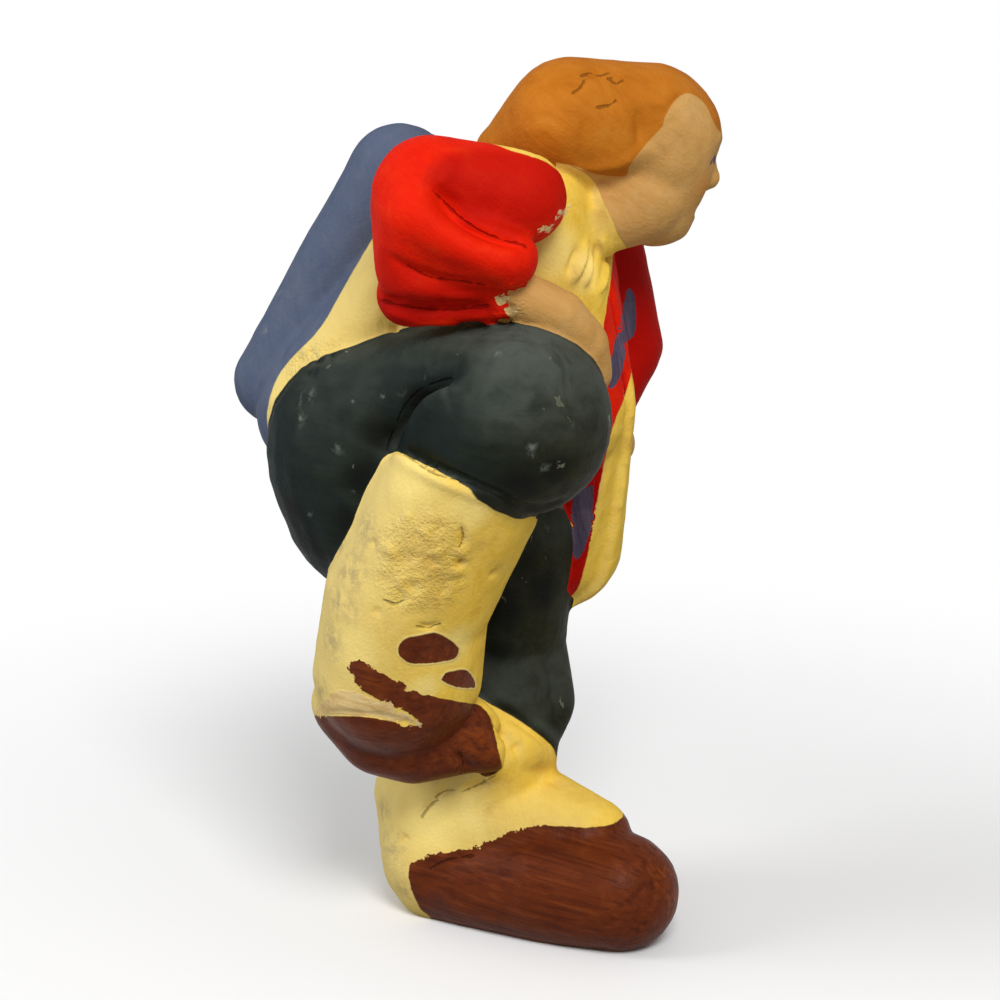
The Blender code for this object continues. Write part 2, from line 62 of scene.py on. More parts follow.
# The raised boot's rim from the knee, the coat's thickness and opening, and the head's turn
RIM_FROM_KNEE = (-7.7, 0.0, -8.3)
RIM_TILT = 20.4
RIM_SWING = 21.4
COAT_THICK = 1.2
COAT_OPENING = 3.6
COAT_OPENING_LEFT = 0.8
COAT_OPENING_LEAN = 4.0
HEAD_BOW = 12.0
HEAD_YAW = 30.0

# The skin over the forms
SKIN_GRAIN = 0.45
SKIN_SOFTEN = 0.5
SKIN_SOFTEN_STEPS = 6
MOST_FACETS = 196000

FORWARD = Vector((1.0, 0.0, 0.0))
LEFT = Vector((0.0, 1.0, 0.0))
UP = Vector((0.0, 0.0, 1.0))
NO_TURN = Matrix.Identity(3)

# Where the near side's marks are laid out from: a view of the man, in thousandths of its width
VIEW_TARGET = Vector((-6.0, 0.0, 57.3))
VIEW_AZIMUTH = 20.0
VIEW_ELEVATION = 15.0
VIEW_DISTANCE = 420.0
VIEW_MARKS = 1000.0
MARK_MM = 0.1306
SENSOR_MM = 36.0


def reach(start, length, lean, swing=0.0):
    """Return the end of a bone that starts at a point, from its length, lean and swing."""
    a = radians(lean)
    b = radians(swing)
    return start + length * Vector((sin(a) * cos(b), sin(b), cos(a) * cos(b)))


def shift(start, forward=0.0, left=0.0, up=0.0):
    """Return a point moved forward, to his left and up."""
    return start + forward * FORWARD + left * LEFT + up * UP


def lump(centre, size, turn=NO_TURN):
    """Return a ball of clay, or an ellipsoid with three half sizes, as centre, sizes and turn."""
    sizes = (size, size, size) if isinstance(size, float) else size
    return centre, Vector(sizes), turn


def skin(lumps, cuts=()):
    """Return a form: the taut skin over lumps, cut off in front of planes (point, normal)."""
    return {"lumps": lumps, "cuts": cuts}


# Each joint's ball of clay: whether it is reached by a bone (length, lean, swing) or by a shift
# (forward, left, up), the joint it starts from, those measures, and its radius or half sizes
JOINTS = {
    # Standing boot and left leg in baggy trousers
    "counter": (shift, "heel", (0.0, 0.0, 1.8), 8.2),
    "ankle": (reach, "heel", (10.3, 13.0, 11.0), (12.4, 9.4, 8.5)),
    "instep": (shift, "ball", (3.8, 1.4, 5.3), 6.2),
    "boot_neck": (reach, "ankle", (11.2, 33.0, -9.0), 7.8),
    "trouser_cuff": (reach, "boot_neck", (5.9, -22.8, 36.9), 9.9),
    "shin": (reach, "trouser_cuff", (8.2, 0.0, 7.0), 8.7),
    "thigh": (reach, "shin", (16.5, -19.1, 10.5), 12.0),
    "lap": (shift, "thigh", (7.0, -3.8, 0.0), 9.6),
    # Pelvis and seat
    "crotch": (reach, "thigh", (6.0, 4.0, -9.5), (14.2, 13.0, 13.0)),
    "hip": (shift, "crotch", (-4.6, -15.8, 2.0), (14.8, 13.4, 14.2)),
    "seat": (reach, "hip", (5.4, -20.0, 0.0), (14.8, 13.6, 14.6)),
    "loin": (shift, "seat", (8.2, 3.8, 4.0), (11.5, 12.0, 11.0)),
    # Raised right leg, tall boot and small shoe
    "thigh_root": (shift, "seat", (10.0, -4.2, 7.9), 10.2),
    "knee": (reach, "thigh_root", (13.7, 88.6, -26.0), 11.9),
    "boot_top": (shift, "knee", (-4.7, 0.0, -3.4), 10.5),
    "calf": (reach, "boot_top", (24.5, 206.5, 6.0), 10.6),
    "right_ankle": (reach, "calf", (11.1, 192.8, 13.0), 11.0),
    "shoe_heel": (shift, "right_ankle", (-6.5, 0.0, -5.0), 5.2),
    "shoe_sole": (shift, "right_ankle", (-2.3, 1.0, -9.2), (6.0, 6.4, 5.4)),
    "shoe_waist": (shift, "shoe_sole", (3.8, 1.0, -0.9), (6.0, 6.4, 5.4)),
    "shoe_toe": (shift, "right_ankle", (7.1, 5.0, -9.4), 5.2),
    # Shirt and open coat
    "chest": (reach, "loin", (24.3, 1.5, 14.3), (8.2, 14.0, 8.5)),
    "near_shoulder": (shift, "chest", (12.3, -5.0, 5.3), (5.4, 8.0, 5.4)),
    "far_shoulder": (shift, "chest", (10.1, 6.0, 3.1), (5.2, 10.0, 6.0)),
    "back": (shift, "chest", (-18.2, -4.8, -23.7), (9.2, 9.6, 9.4)),
    "belly": (shift, "chest", (4.3, 2.0, -22.2), (17.2, 13.5, 12.0)),
    "coat_tip": (reach, "belly", (22.0, 168.6, 16.0), (9.4, 10.0, 8.8)),
    # Pack: a rounded slab that lies against the coat
    "pack_top": (shift, "chest", (-9.2, -1.0, 7.0), 6.6),
    "pack_far_top": (shift, "pack_top", (-1.8, 14.0, -4.0), 6.6),
    "pack_foot": (reach, "pack_top", (32.6, 210.6, -2.0), 6.2),
    "pack_far_foot": (reach, "pack_far_top", (32.6, 210.6, 5.0), 6.2),
    # Right arm: bent, with the hand on the thigh
    "shoulder": (shift, "chest", (12.6, -16.0, 7.5), 5.8),
    "upper_arm": (reach, "shoulder", (10.8, -88.3, -22.0), 7.5),
    "elbow": (reach, "upper_arm", (4.2, 183.0, -62.0), 5.2),
    "wrist": (reach, "elbow", (11.8, 113.7, 8.8), 3.7),
    "sleeve_back": (shift, "elbow", (-1.1, 1.4, -3.4), 5.0),
    "sag": (shift, "elbow", (-1.1, 2.4, -6.6), 5.4),
    "cuff_root": (shift, "sag", (0.0, 0.0, 0.0), 4.0),
    "cuff_back": (shift, "sag", (-1.8, 1.0, -3.7), 4.0),
    "cuff_tip": (shift, "wrist", (-1.5, 2.0, -6.0), 1.9),
    "cuff_fold": (shift, "wrist", (-3.0, 2.0, -3.9), 2.6),
    "hand": (reach, "wrist", (6.2, 178.3, 34.4), 3.0),
    "palm": (reach, "hand", (5.6, 115.0, 16.0), 3.0),
    "fingers": (reach, "palm", (5.6, 150.0, 32.0), 2.8),
    "fingertip": (reach, "fingers", (4.7, 173.0, 25.0), 2.2),
    # Left arm: hangs in front of the coat, with the hand on its edge
    "left_shoulder": (shift, "chest", (11.2, 15.0, 0.4), 6.2),
    "left_elbow": (reach, "left_shoulder", (18.4, 169.0, 9.4), 5.6),
    "left_wrist": (reach, "left_elbow", (7.8, 194.0, -22.6), 4.7),
    "left_palm": (shift, "left_wrist", (0.0, 0.0, 0.0), 3.4),
    "left_hand": (reach, "left_wrist", (6.4, 172.0, 12.0), 3.4),
    # Neck and hair; the head's middle only carries the balls of the hair and the face
    "neck": (shift, "chest", (17.3, 0.0, 3.2), 5.2),
    "throat": (reach, "neck", (5.9, 62.0, 30.6), 6.2),
    "head": (reach, "throat", (7.8, -29.0, 0.0), 0.0),
    "tail": (shift, "head", (-13.0, -4.0, -1.6), 3.6),
    "nape": (shift, "head", (-8.2, -4.0, -0.6), 6.0),
    "crown": (shift, "head", (-4.2, -4.0, 2.6), (7.8, 9.6, 8.0)),
    "fringe": (shift, "head", (4.4, 2.0, 2.2), (7.8, 9.0, 7.2)),
    "side": (shift, "head", (-0.9, -2.0, -0.2), (8.0, 9.0, 5.0)),
}
# The face's balls, from the head's middle along its own turn: forward, left, up, and the size
FACE_JOINTS = {
    "face": ((5.0, 0.0, 1.0), (9.0, 8.5, 9.0)),
    "jaw": ((7.2, 0.0, -8.0), (5.4, 5.2, 4.6)),
    "nose": ((12.2, 0.0, 0.5), 1.3),
    "nose_tip": ((13.4, 0.0, -2.6), 1.6),
}
# The taut skins over the balls, by the name of what they show; figure() adds the skins of the
# shirt and the coat, which are cut along the coat's opening
SHELLS = {
    "left_shoe": ["heel ball toe"],
    "left_boot": ["counter ankle instep", "ankle boot_neck"],
    "trousers": [
        "trouser_cuff shin", "shin thigh lap", "thigh crotch", "crotch hip", "hip seat loin",
        "seat thigh_root", "thigh_root knee",
    ],
    "right_boot": ["boot_top calf", "calf right_ankle"],
    "right_shoe": ["shoe_heel shoe_sole shoe_waist shoe_toe"],
    "shirt": [],
    "coat": [],
    "pack": ["pack_top pack_far_top pack_foot pack_far_foot"],
    "right_sleeve": [
        "shoulder upper_arm", "upper_arm elbow sag", "elbow sleeve_back wrist",
        "cuff_root cuff_back cuff_tip cuff_fold",
    ],
    "right_hand": ["hand palm", "palm fingers", "fingers fingertip"],
    "left_sleeve": ["left_shoulder left_elbow", "left_elbow left_wrist"],
    "left_hand": ["left_palm left_hand"],
    "neck": ["neck throat"],
    "face": ["face jaw", "nose nose_tip"],
    "hair": ["tail nape crown fringe side"],
}
COAT_BODY = "chest near_shoulder far_shoulder back belly"
COAT_SKIRT = "belly coat_tip"


def balls_of_clay():
    """Return the ball of clay at every joint, by the joint's name, and the head's turn."""
    yaw = Matrix.Rotation(radians(TOE_TURN), 3, "Z")
    toe_way = yaw @ FORWARD
    ball = Vector((HEEL_AT.x, HEEL_AT.y, BALL_RISE)) + HEEL_TO_BALL * toe_way
    balls = {
        "heel": lump(HEEL_AT, HEEL_SIZE, yaw),
        "ball": lump(ball, BALL_SIZE, yaw),
        "toe": lump(ball + BALL_TO_TOE * toe_way, TOE_SIZE, yaw),
    }
    for name, (way, start, measures, size) in JOINTS.items():
        balls[name] = lump(way(balls[start][0], *measures), size)
    turn = Matrix.Rotation(radians(HEAD_YAW), 3, "Z") @ Matrix.Rotation(radians(HEAD_BOW), 3, "Y")
    for name, (measures, size) in FACE_JOINTS.items():
        is_round = isinstance(size, float)
        place = balls["head"][0] + turn @ Vector(measures)
        balls[name] = lump(place, size, NO_TURN if is_round else turn)
    return balls, turn


def figure():
    """Return every form of the man, by the name of what it shows, the head's middle and turn."""
    balls, turn = balls_of_clay()
    forms = {}
    for name, skins in SHELLS.items():
        forms[name] = [skin([balls[joint] for joint in joints.split()]) for joints in skins]
    rim = shift(balls["knee"][0], *RIM_FROM_KNEE)
    forms["right_boot"][0]["cuts"] = [(rim, reach(Vector(), 1.0, RIM_TILT, RIM_SWING))]

    body, skirt = [[balls[joint] for joint in joints.split()] for joints in (COAT_BODY, COAT_SKIRT)]
    under = Vector((COAT_THICK, COAT_THICK, COAT_THICK))
    across = Matrix.Rotation(radians(COAT_OPENING_LEAN), 3, "X") @ LEFT
    middle = shift(balls["chest"][0], left=COAT_OPENING_LEFT)
    near_edge = middle - 0.5 * COAT_OPENING * across
    far_edge = middle + 0.5 * COAT_OPENING * across
    for lumps, cuts in ((body, ()), (skirt, [(near_edge, -across)])):
        forms["shirt"].append(skin([(place, size - under, way) for place, size, way in lumps], cuts))
    for lumps, cut in ((body, (near_edge, across)), (body, (far_edge, -across)),
                       (skirt, (far_edge, -across))):
        forms["coat"].append(skin(lumps, [cut]))
    return forms, balls["head"][0], turn


def form_mesh(form):
    """Return one form as a closed bmesh in mm: balls, the hull around them, and its flat cuts."""
    bm = bmesh.new()
    for centre, sizes, turn in form["lumps"]:
        matrix = Matrix.Translation(centre) @ turn.to_4x4() @ Matrix.Diagonal((*sizes, 1.0))
        bmesh.ops.create_uvsphere(bm, u_segments=SEGMENTS, v_segments=RINGS, radius=1.0, matrix=matrix)
    found = bmesh.ops.convex_hull(bm, input=bm.verts)
    spare = {item for item in found["geom_interior"] if isinstance(item, bmesh.types.BMVert)}
    spare |= {item for item in found["geom_unused"] if isinstance(item, bmesh.types.BMVert)}
    bmesh.ops.delete(bm, geom=list(spare), context="VERTS")
    hull = set(found["geom"])
    loose = [face for face in bm.faces if face not in hull]
    bmesh.ops.delete(bm, geom=loose, context="FACES")
    bmesh.ops.recalc_face_normals(bm, faces=bm.faces)
    form["tree"] = BVHTree.FromBMesh(bm)
    form["corners"] = np.array([tuple(vert.co) for vert in bm.verts])
    for point, normal in form["cuts"]:
        geometry = bm.verts[:] + bm.edges[:] + bm.faces[:]
        cut = bmesh.ops.bisect_plane(
            bm, geom=geometry, plane_co=point, plane_no=normal, clear_outer=True
        )
        edges = [item for item in cut["geom_cut"] if isinstance(item, bmesh.types.BMEdge)]
        bmesh.ops.holes_fill(bm, edges=edges)
    bmesh.ops.recalc_face_normals(bm, faces=bm.faces)
    return bm


def view_axes():
    """Return the unit vectors to the right, up and back towards the eye of the layout view."""
    a = radians(VIEW_AZIMUTH)
    e = radians(VIEW_ELEVATION)
    back = Vector((sin(a) * cos(e), -cos(a) * cos(e), sin(e)))
    right = Vector((cos(a), sin(a), 0.0))
    return right, back.cross(right), back


VIEW_RIGHT, VIEW_UP, VIEW_BACK = view_axes()
VIEW_EYE = VIEW_TARGET + VIEW_DISTANCE * VIEW_BACK
VIEW_REACH = VIEW_DISTANCE / MARK_MM


def marks_of(points):
    """Return where points lie in the layout view, as two arrays of marks across and down."""
    offset = points - np.array(VIEW_EYE)
    depth = -(offset @ np.array(VIEW_BACK))
    across = 0.5 * VIEW_MARKS + VIEW_REACH * (offset @ np.array(VIEW_RIGHT)) / depth
    down = 0.5 * VIEW_MARKS - VIEW_REACH * (offset @ np.array(VIEW_UP)) / depth
    return across, down


def sight_line(across, down):
    """Return the direction from the eye of the layout view through a mark."""
    right = float(across - 0.5 * VIEW_MARKS) / VIEW_REACH
    up = float(0.5 * VIEW_MARKS - down) / VIEW_REACH
    return (right * VIEW_RIGHT + up * VIEW_UP - VIEW_BACK).normalized()


def rounded(marks, closed=False, steps=6):
    """Return a smooth line through marks, as an array with steps points for each of them."""
    count = len(marks)
    line = []
    for i in range(count if closed else count - 1):
        if closed:
            ends = [marks[(i + k) % count] for k in (-1, 0, 1, 2)]
        else:
            ends = [marks[min(max(i + k, 0), count - 1)] for k in (-1, 0, 1, 2)]
        p0, p1, p2, p3 = [np.array(end, float) for end in ends]
        for step in range(steps):
            t = step / steps
            bend = (2 * p0 - 5 * p1 + 4 * p2 - p3) * t * t + (3 * p1 - p0 - 3 * p2 + p3) * t ** 3
            line.append(0.5 * (2 * p1 + (p2 - p0) * t + bend))
    if not closed:
        line.append(np.array(marks[-1], float))
    return np.array(line)


def along_line(points, line, closed=False):
    """Return each point's distance to a line of points, and its place along it from 0 to 1."""
    near = np.full(len(points), 1e9)
    place = np.zeros(len(points))
    ends = list(zip(line, np.roll(line, -1, axis=0)))
    if not closed:
        ends = ends[:-1]
    for i, (start, end) in enumerate(ends):
        way = end - start
        t = np.clip(((points - start) @ way) / max(way @ way, 1e-12), 0.0, 1.0)
        gap = np.linalg.norm(points - start - t[:, None] * way, axis=1)
        closer = gap < near
        near[closer] = gap[closer]
        place[closer] = (i + t[closer]) / len(ends)
    return near, place


def near_box(points, corners, margin):
    """Return which points lie in the box around some corners, widened by a margin in mm."""
    low = corners.min(axis=0) - margin
    high = corners.max(axis=0) + margin
    return np.nonzero(((points > low) & (points < high)).all(axis=1))[0]


def inside_outline(points, outline):
    """Return how far inside a closed flat outline each point lies, in mm, less than 0 outside."""
    near, _ = along_line(points, outline, closed=True)
    x, y = points[:, 0], points[:, 1]
    within = np.zeros(len(points), bool)
    for (x0, y0), (x1, y1) in zip(outline, np.roll(outline, -1, axis=0)):
        spans = (y0 > y) != (y1 > y)
        if y0 != y1:
            within ^= spans & (x < (x1 - x0) * (y - y0) / (y1 - y0) + x0)
    return np.where(within, near, -near) * MARK_MM


# What counts as facing the eye, and where a look towards the eye starts, in mm off the clay
LEAST_FACING = 0.02
STEP_OUT = 0.35
STEP_TO_EYE = 0.15
# How far a groove reaches, in widths, and how it fades towards its ends
GROOVE_REACH = 3.0
TAPER_END = 0.02
TAPER_POWER = 0.6
GROUND_GRIP = 0.02


class Clay:
    """The lump of clay: its mesh, with arrays of its points and outward directions in mm."""

    def __init__(self, mesh):
        self.mesh = mesh
        self.points = np.empty(len(mesh.vertices) * 3)
        mesh.vertices.foreach_get("co", self.points)
        self.points = self.points.reshape(-1, 3) / MM
        self.refresh()

    def refresh(self):
        """Put the points back in the mesh and take its outward directions again."""
        self.mesh.vertices.foreach_set("co", (self.points * MM).ravel())
        self.mesh.update()
        self.outward = np.empty(len(self.mesh.vertices) * 3)
        self.mesh.vertex_normals.foreach_get("vector", self.outward)
        self.outward = self.outward.reshape(-1, 3)
        corners = [tuple(face.vertices) for face in self.mesh.polygons]
        self.tree = BVHTree.FromPolygons([Vector(point) for point in self.points], corners)
        self.across, self.down = marks_of(self.points)
        self.flat_marks = np.stack([self.across, self.down], axis=1)

    def find_seen(self):
        """Note which points face the eye of the layout view with nothing before them."""
        eye = np.array(VIEW_EYE)
        to_eye = eye - self.points
        to_eye /= np.linalg.norm(to_eye, axis=1)[:, None]
        self.facing = np.einsum("ij,ij->i", to_eye, self.outward)
        self.seen = self.facing > LEAST_FACING
        for i in np.nonzero(self.seen)[0]:
            start = Vector(self.points[i] + STEP_OUT * self.outward[i] + STEP_TO_EYE * to_eye[i])
            if self.tree.ray_cast(start, Vector(to_eye[i]))[0] is not None:
                self.seen[i] = False

    def at(self, across, down):
        """Return the point of the clay that is seen at a mark, or None."""
        return self.tree.ray_cast(VIEW_EYE, sight_line(across, down))[0]

    def trace(self, marks, steps=6):
        """Return a line on the clay under a smooth line of marks."""
        found = [self.at(across, down) for across, down in rounded(marks, steps=steps)]
        return np.array([tuple(point) for point in found if point is not None])

    def press(self, line, width, depth):
        """Press a groove of a width and depth in mm along a line, or raise a ridge if depth < 0."""
        close = near_box(self.points, line, GROOVE_REACH * width)
        if not len(close):
            return
        if len(line) == 1:
            near = np.linalg.norm(self.points[close] - line[0], axis=1)
            amount = depth * np.exp(-((near / width) ** 2))
        else:
            near, place = along_line(self.points[close], line)
            amount = depth * np.exp(-((near / width) ** 2))
            place = np.clip(place, TAPER_END, 1.0 - TAPER_END)
            amount = amount * np.sin(pi * place) ** TAPER_POWER
        self.points[close] -= amount[:, None] * self.outward[close]


def placed(name, data):
    """Return a new object of some data, placed in the scene."""
    found = bpy.data.objects.new(name, data)
    bpy.context.scene.collection.objects.link(found)
    return found


def with_modifiers(carrier):
    """Return the mesh that an object's modifiers make of its own, and clear both away."""
    before = carrier.data
    depsgraph = bpy.context.evaluated_depsgraph_get()
    mesh = bpy.data.meshes.new_from_object(carrier.evaluated_get(depsgraph))
    bpy.data.objects.remove(carrier, do_unlink=True)
    bpy.data.meshes.remove(before)
    return mesh


def clay_mesh(forms):
    """Return one softened skin over all the forms, cut flat at the ground."""
    bm = bmesh.new()
    for group in forms.values():
        for form in group:
            piece = bpy.data.meshes.new("form")
            form["skin"].to_mesh(piece)
            bm.from_mesh(piece)
            bpy.data.meshes.remove(piece)
    bmesh.ops.scale(bm, verts=bm.verts, vec=(MM, MM, MM))
    raw = bpy.data.meshes.new("raw_clay")
    bm.to_mesh(raw)
    bm.free()
    lump_object = placed("raw_clay", raw)
    skin_over = lump_object.modifiers.new("skin_over_forms", "REMESH")
    skin_over.mode = "VOXEL"
    skin_over.voxel_size = SKIN_GRAIN * MM
    skin_over.adaptivity = 0.0
    soften = lump_object.modifiers.new("thumbed_smooth", "SMOOTH")
    soften.factor = SKIN_SOFTEN
    soften.iterations = SKIN_SOFTEN_STEPS
    skinned = with_modifiers(lump_object)

    bm = bmesh.new()
    bm.from_mesh(skinned)
    geometry = bm.verts[:] + bm.edges[:] + bm.faces[:]
    ground = bmesh.ops.bisect_plane(
        bm, geom=geometry, dist=GROUND_GRIP * MM,
        plane_co=(0, 0, 0), plane_no=(0, 0, -1), clear_outer=True,
    )
    rim = [item for item in ground["geom_cut"] if isinstance(item, bmesh.types.BMEdge)]
    sole = bmesh.ops.holes_fill(bm, edges=rim)
    bmesh.ops.triangulate(bm, faces=sole["faces"])
    bmesh.ops.recalc_face_normals(bm, faces=bm.faces)
    bm.to_mesh(skinned)
    bm.free()
    skinned.name = "clay_man"
    return skinned


# Which groups of forms take each paint over the yellow, by their names in SHELLS
PAINTS = {
    "hair": ["hair"],
    "flesh": ["neck", "face", "right_hand", "left_hand"],
    "red": ["right_sleeve", "left_sleeve", "shirt"],
    "pack": ["pack"],
    "trousers": ["trousers"],
}
FAR_OFF = -3.0

# Grooves (depth > 0) and ridges (depth < 0) on the near side: marks, width and depth in mm
GROOVES = [
    # sleeve: the crease over the forearm, the fold under it and the deep fold at the hem
    ([(430, 186), (446, 202), (462, 217), (482, 231), (505, 240), (524, 245)], 1.0, 2.0),
    ([(440, 186), (466, 204), (498, 222)], 2.6, 1.0),
    ([(400, 196), (424, 226), (462, 250), (500, 262), (524, 262)], 2.2, -0.9),
    ([(388, 256), (406, 268), (430, 277), (460, 282), (503, 286)], 0.8, 0.9),
    ([(400, 286), (440, 293), (480, 295)], 1.2, -0.5),
    ([(380, 300), (400, 304), (430, 309), (462, 309), (492, 306)], 1.0, 1.7),
    ([(416, 314), (427, 316), (442, 315)], 0.5, -0.3),
    ([(390, 312), (420, 322), (470, 322), (510, 320)], 0.6, -0.4),
    ([(500, 292), (510, 297), (518, 307)], 0.5, -0.4),
    ([(494, 298), (505, 304), (512, 315)], 0.5, 0.5),
    # hair: the front lock's edge and the scratches
    ([(637, 108), (641, 124), (641, 136), (638, 150)], 0.8, 0.8),
    ([(658, 104), (656, 130), (646, 148)], 2.6, 0.8),
    ([(584, 74), (595, 76), (606, 74)], 0.4, 0.2),
    ([(611, 81), (616, 83), (620, 83)], 0.4, 0.2),
    ([(583, 84), (578, 92)], 0.4, 0.15),
    ([(601, 107), (608, 106), (613, 102)], 0.4, 0.18),
    ([(538, 117), (553, 118)], 0.4, 0.2),
    ([(664, 118), (674, 102), (686, 93)], 0.5, 0.4),
    ([(572, 166), (595, 168), (626, 162), (640, 148)], 0.8, -0.5),
    # coat: modelled lines beside the opening
    ([(586, 240), (583, 256), (577, 272), (571, 282)], 0.5, -0.9),
    ([(590, 252), (588, 272), (583, 286)], 0.5, -0.8),
    ([(602, 236), (603, 258)], 0.45, -0.7),
    ([(606, 258), (603, 278), (598, 294)], 0.5, -0.9),
    ([(578, 248), (568, 276)], 0.6, 0.6),
    ([(597, 244), (595, 270), (591, 290)], 0.5, 0.6),
    ([(610, 240), (608, 270), (600, 305)], 0.5, -0.4),
    ([(571, 166), (586, 175), (597, 188), (604, 203), (613, 222), (617, 236)], 0.6, -0.4),
    # trousers: the deep crease where the raised thigh meets the seat
    ([(452, 377), (426, 386), (408, 400), (396, 420), (385, 450)], 1.1, 3.0),
    ([(425, 380), (400, 398), (384, 425), (374, 455)], 3.0, 1.2),
    ([(448, 392), (424, 408), (408, 432)], 1.8, -0.9),
    ([(520, 506), (545, 508), (563, 500)], 1.2, 0.6),
    # raised boot: its rim, the dark pit, the cracks and the fold at the back of the foot
    ([(388, 443), (425, 463), (470, 482), (510, 500), (534, 516)], 0.7, 1.0),
    ([(392, 455), (425, 474), (470, 494), (505, 510), (528, 526)], 0.8, -0.35),
    ([(462, 527), (463, 537), (462, 547)], 0.4, 0.45),
    ([(419, 625), (429, 627), (438, 624)], 0.4, 0.6),
    ([(505, 498), (511, 501)], 0.5, 0.7),
    ([(470, 700), (484, 716), (493, 738), (499, 764)], 0.6, 0.4),
    ([(456, 752), (466, 764), (472, 770)], 0.7, 0.8),
    ([(480, 772), (489, 768), (494, 756), (494, 742)], 1.9, -1.7),
    ([(316, 712), (350, 713), (390, 718), (420, 727)], 0.5, 0.35),
    # standing boot: creases over the ankle
    ([(453, 787), (445, 791), (437, 796)], 0.6, 0.6),
    ([(437, 800), (430, 806), (424, 814)], 0.5, 0.45),
    ([(500, 775), (480, 784), (462, 792)], 0.7, 0.7),
    ([(493, 716), (500, 731), (507, 748)], 0.8, 0.7),
    ([(513, 745), (518, 752)], 0.9, 0.6),
    ([(520, 770), (548, 776), (562, 788)], 1.2, 0.6),
    ([(560, 640), (566, 690), (566, 718), (558, 750)], 2.8, -1.0),
    ([(488, 704), (520, 722), (548, 744), (562, 762)], 0.7, 0.8),
]
PITS = [
    (373, 543, 0.5, 0.35), (417, 536, 0.6, 0.35), (431, 562, 0.7, 0.4), (413, 587, 0.6, 0.4),
    (493, 574, 0.5, 0.45), (377, 612, 0.5, 0.3), (461, 564, 0.5, 1.2), (405, 839, 0.5, 0.6),
    (395, 329, 0.5, 0.7), (405, 560, 1.0, 0.3), (441, 586, 0.9, 0.3), (398, 604, 0.8, 0.35),
    (300, 360, 0.5, 0.4), (311, 352, 0.4, 0.35), (323, 349, 0.5, 0.4), (330, 356, 0.4, 0.3),
]
# Thin dark lines: scratches in the hair, and cracks and painted shade along the creases and folds of the
# sleeve, the trousers and the boots
DARK_LINES = [
    [(584, 75), (590, 73), (598, 76), (606, 74)],
    [(611, 81), (616, 84), (620, 82)],
    [(583, 83), (580, 88), (576, 91)],
    [(601, 107), (608, 106), (613, 103)],
    [(436, 194), (446, 204), (462, 219), (482, 232), (505, 241), (522, 245)],
    [(382, 301), (400, 305), (430, 309), (462, 309), (486, 306)],
    [(412, 268), (430, 277), (460, 281), (480, 284)],
    [(450, 379), (426, 387), (410, 400), (399, 418), (388, 446)],
    [(402, 452), (431, 472), (465, 482), (495, 495), (512, 505)],
    [(462, 530), (463, 537), (461, 543)],
    [(421, 627), (429, 628), (436, 625)],
    [(388, 602), (394, 604), (400, 602)],
    [(452, 790), (445, 791), (437, 796)],
    [(437, 801), (430, 806), (424, 814)],
    [(493, 777), (480, 784), (466, 790)],
    [(460, 754), (463, 762), (461, 772)],
    [(502, 498), (508, 500), (512, 504)],
    [(432, 868), (448, 860), (470, 856)],
]
# Crumbled faces, where the paint lies over rough clay
CRUMBLED = [
    [(392, 520), (455, 520), (466, 560), (452, 600), (392, 606), (378, 560)],
    [(290, 350), (330, 340), (345, 352), (320, 372), (292, 378)],
    [(494, 285), (522, 285), (520, 322), (496, 322)],
]

# Paint outlines, in marks
HAIR_OUTLINE = [
    (624, 176), (629, 166), (644, 146), (662, 126), (664, 118), (674, 101), (686, 93), (698, 97),
    (708, 108), (714, 122), (722, 132), (745, 128), (735, 60), (690, 36), (540, 30), (465, 90),
    (455, 150), (505, 156), (569, 164), (593, 173),
]
BOOT_PATCH = [
    (398, 652), (403, 640), (422, 635), (436, 633), (450, 640), (459, 649), (455, 658),
    (441, 662), (415, 664), (403, 659),
]
SMALL_PATCH = [(440, 678), (448, 672), (465, 670), (473, 678), (476, 687), (465, 688), (450, 685)]
RAISED_SHOE = [
    (349, 666), (358, 660), (368, 666), (382, 673), (394, 680), (406, 684), (408, 690), (422, 694),
    (450, 700), (474, 704), (483, 708), (491, 720), (498, 749), (501, 780), (467, 790), (455, 795),
    (413, 800), (370, 790), (340, 765), (318, 750), (300, 725), (310, 717), (337, 716), (368, 717),
    (384, 720), (396, 723), (420, 725), (408, 713), (384, 704), (368, 694), (358, 685), (351, 673),
]
BARE_PATCHES = [
    [(316, 712), (337, 690), (368, 697), (396, 708), (420, 725), (384, 718), (345, 714)],
    [(495, 299), (502, 295), (508, 300), (501, 306)],
    [(505, 309), (514, 306), (516, 316), (508, 318)],
    [(571, 203), (572, 207), (566, 214), (560, 218), (560, 214), (565, 209)],
    [(551, 224), (552, 228), (544, 233), (537, 236), (538, 232), (545, 228)],
]
SHOULDER_EDGE = [
    (484, 139), (513, 152), (540, 160), (556, 170), (567, 184), (574, 186), (576, 160), (540, 130),
    (500, 126),
]
STANDING_SHOE = [
    (409, 870), (415, 861), (439, 853), (465, 849), (500, 838), (529, 827), (564, 814), (596, 811),
    (606, 803), (640, 790), (720, 830), (740, 920), (680, 990), (560, 990), (460, 960), (436, 924),
    (420, 908), (411, 888),
]
STRIP_PATCHES = [
    [(627, 292), (634, 296), (635, 330), (626, 340), (622, 330)],
    [(617, 336), (625, 334), (622, 370), (612, 388), (609, 380)],
    [(577, 470), (592, 472), (590, 530), (578, 558), (572, 540)],
]
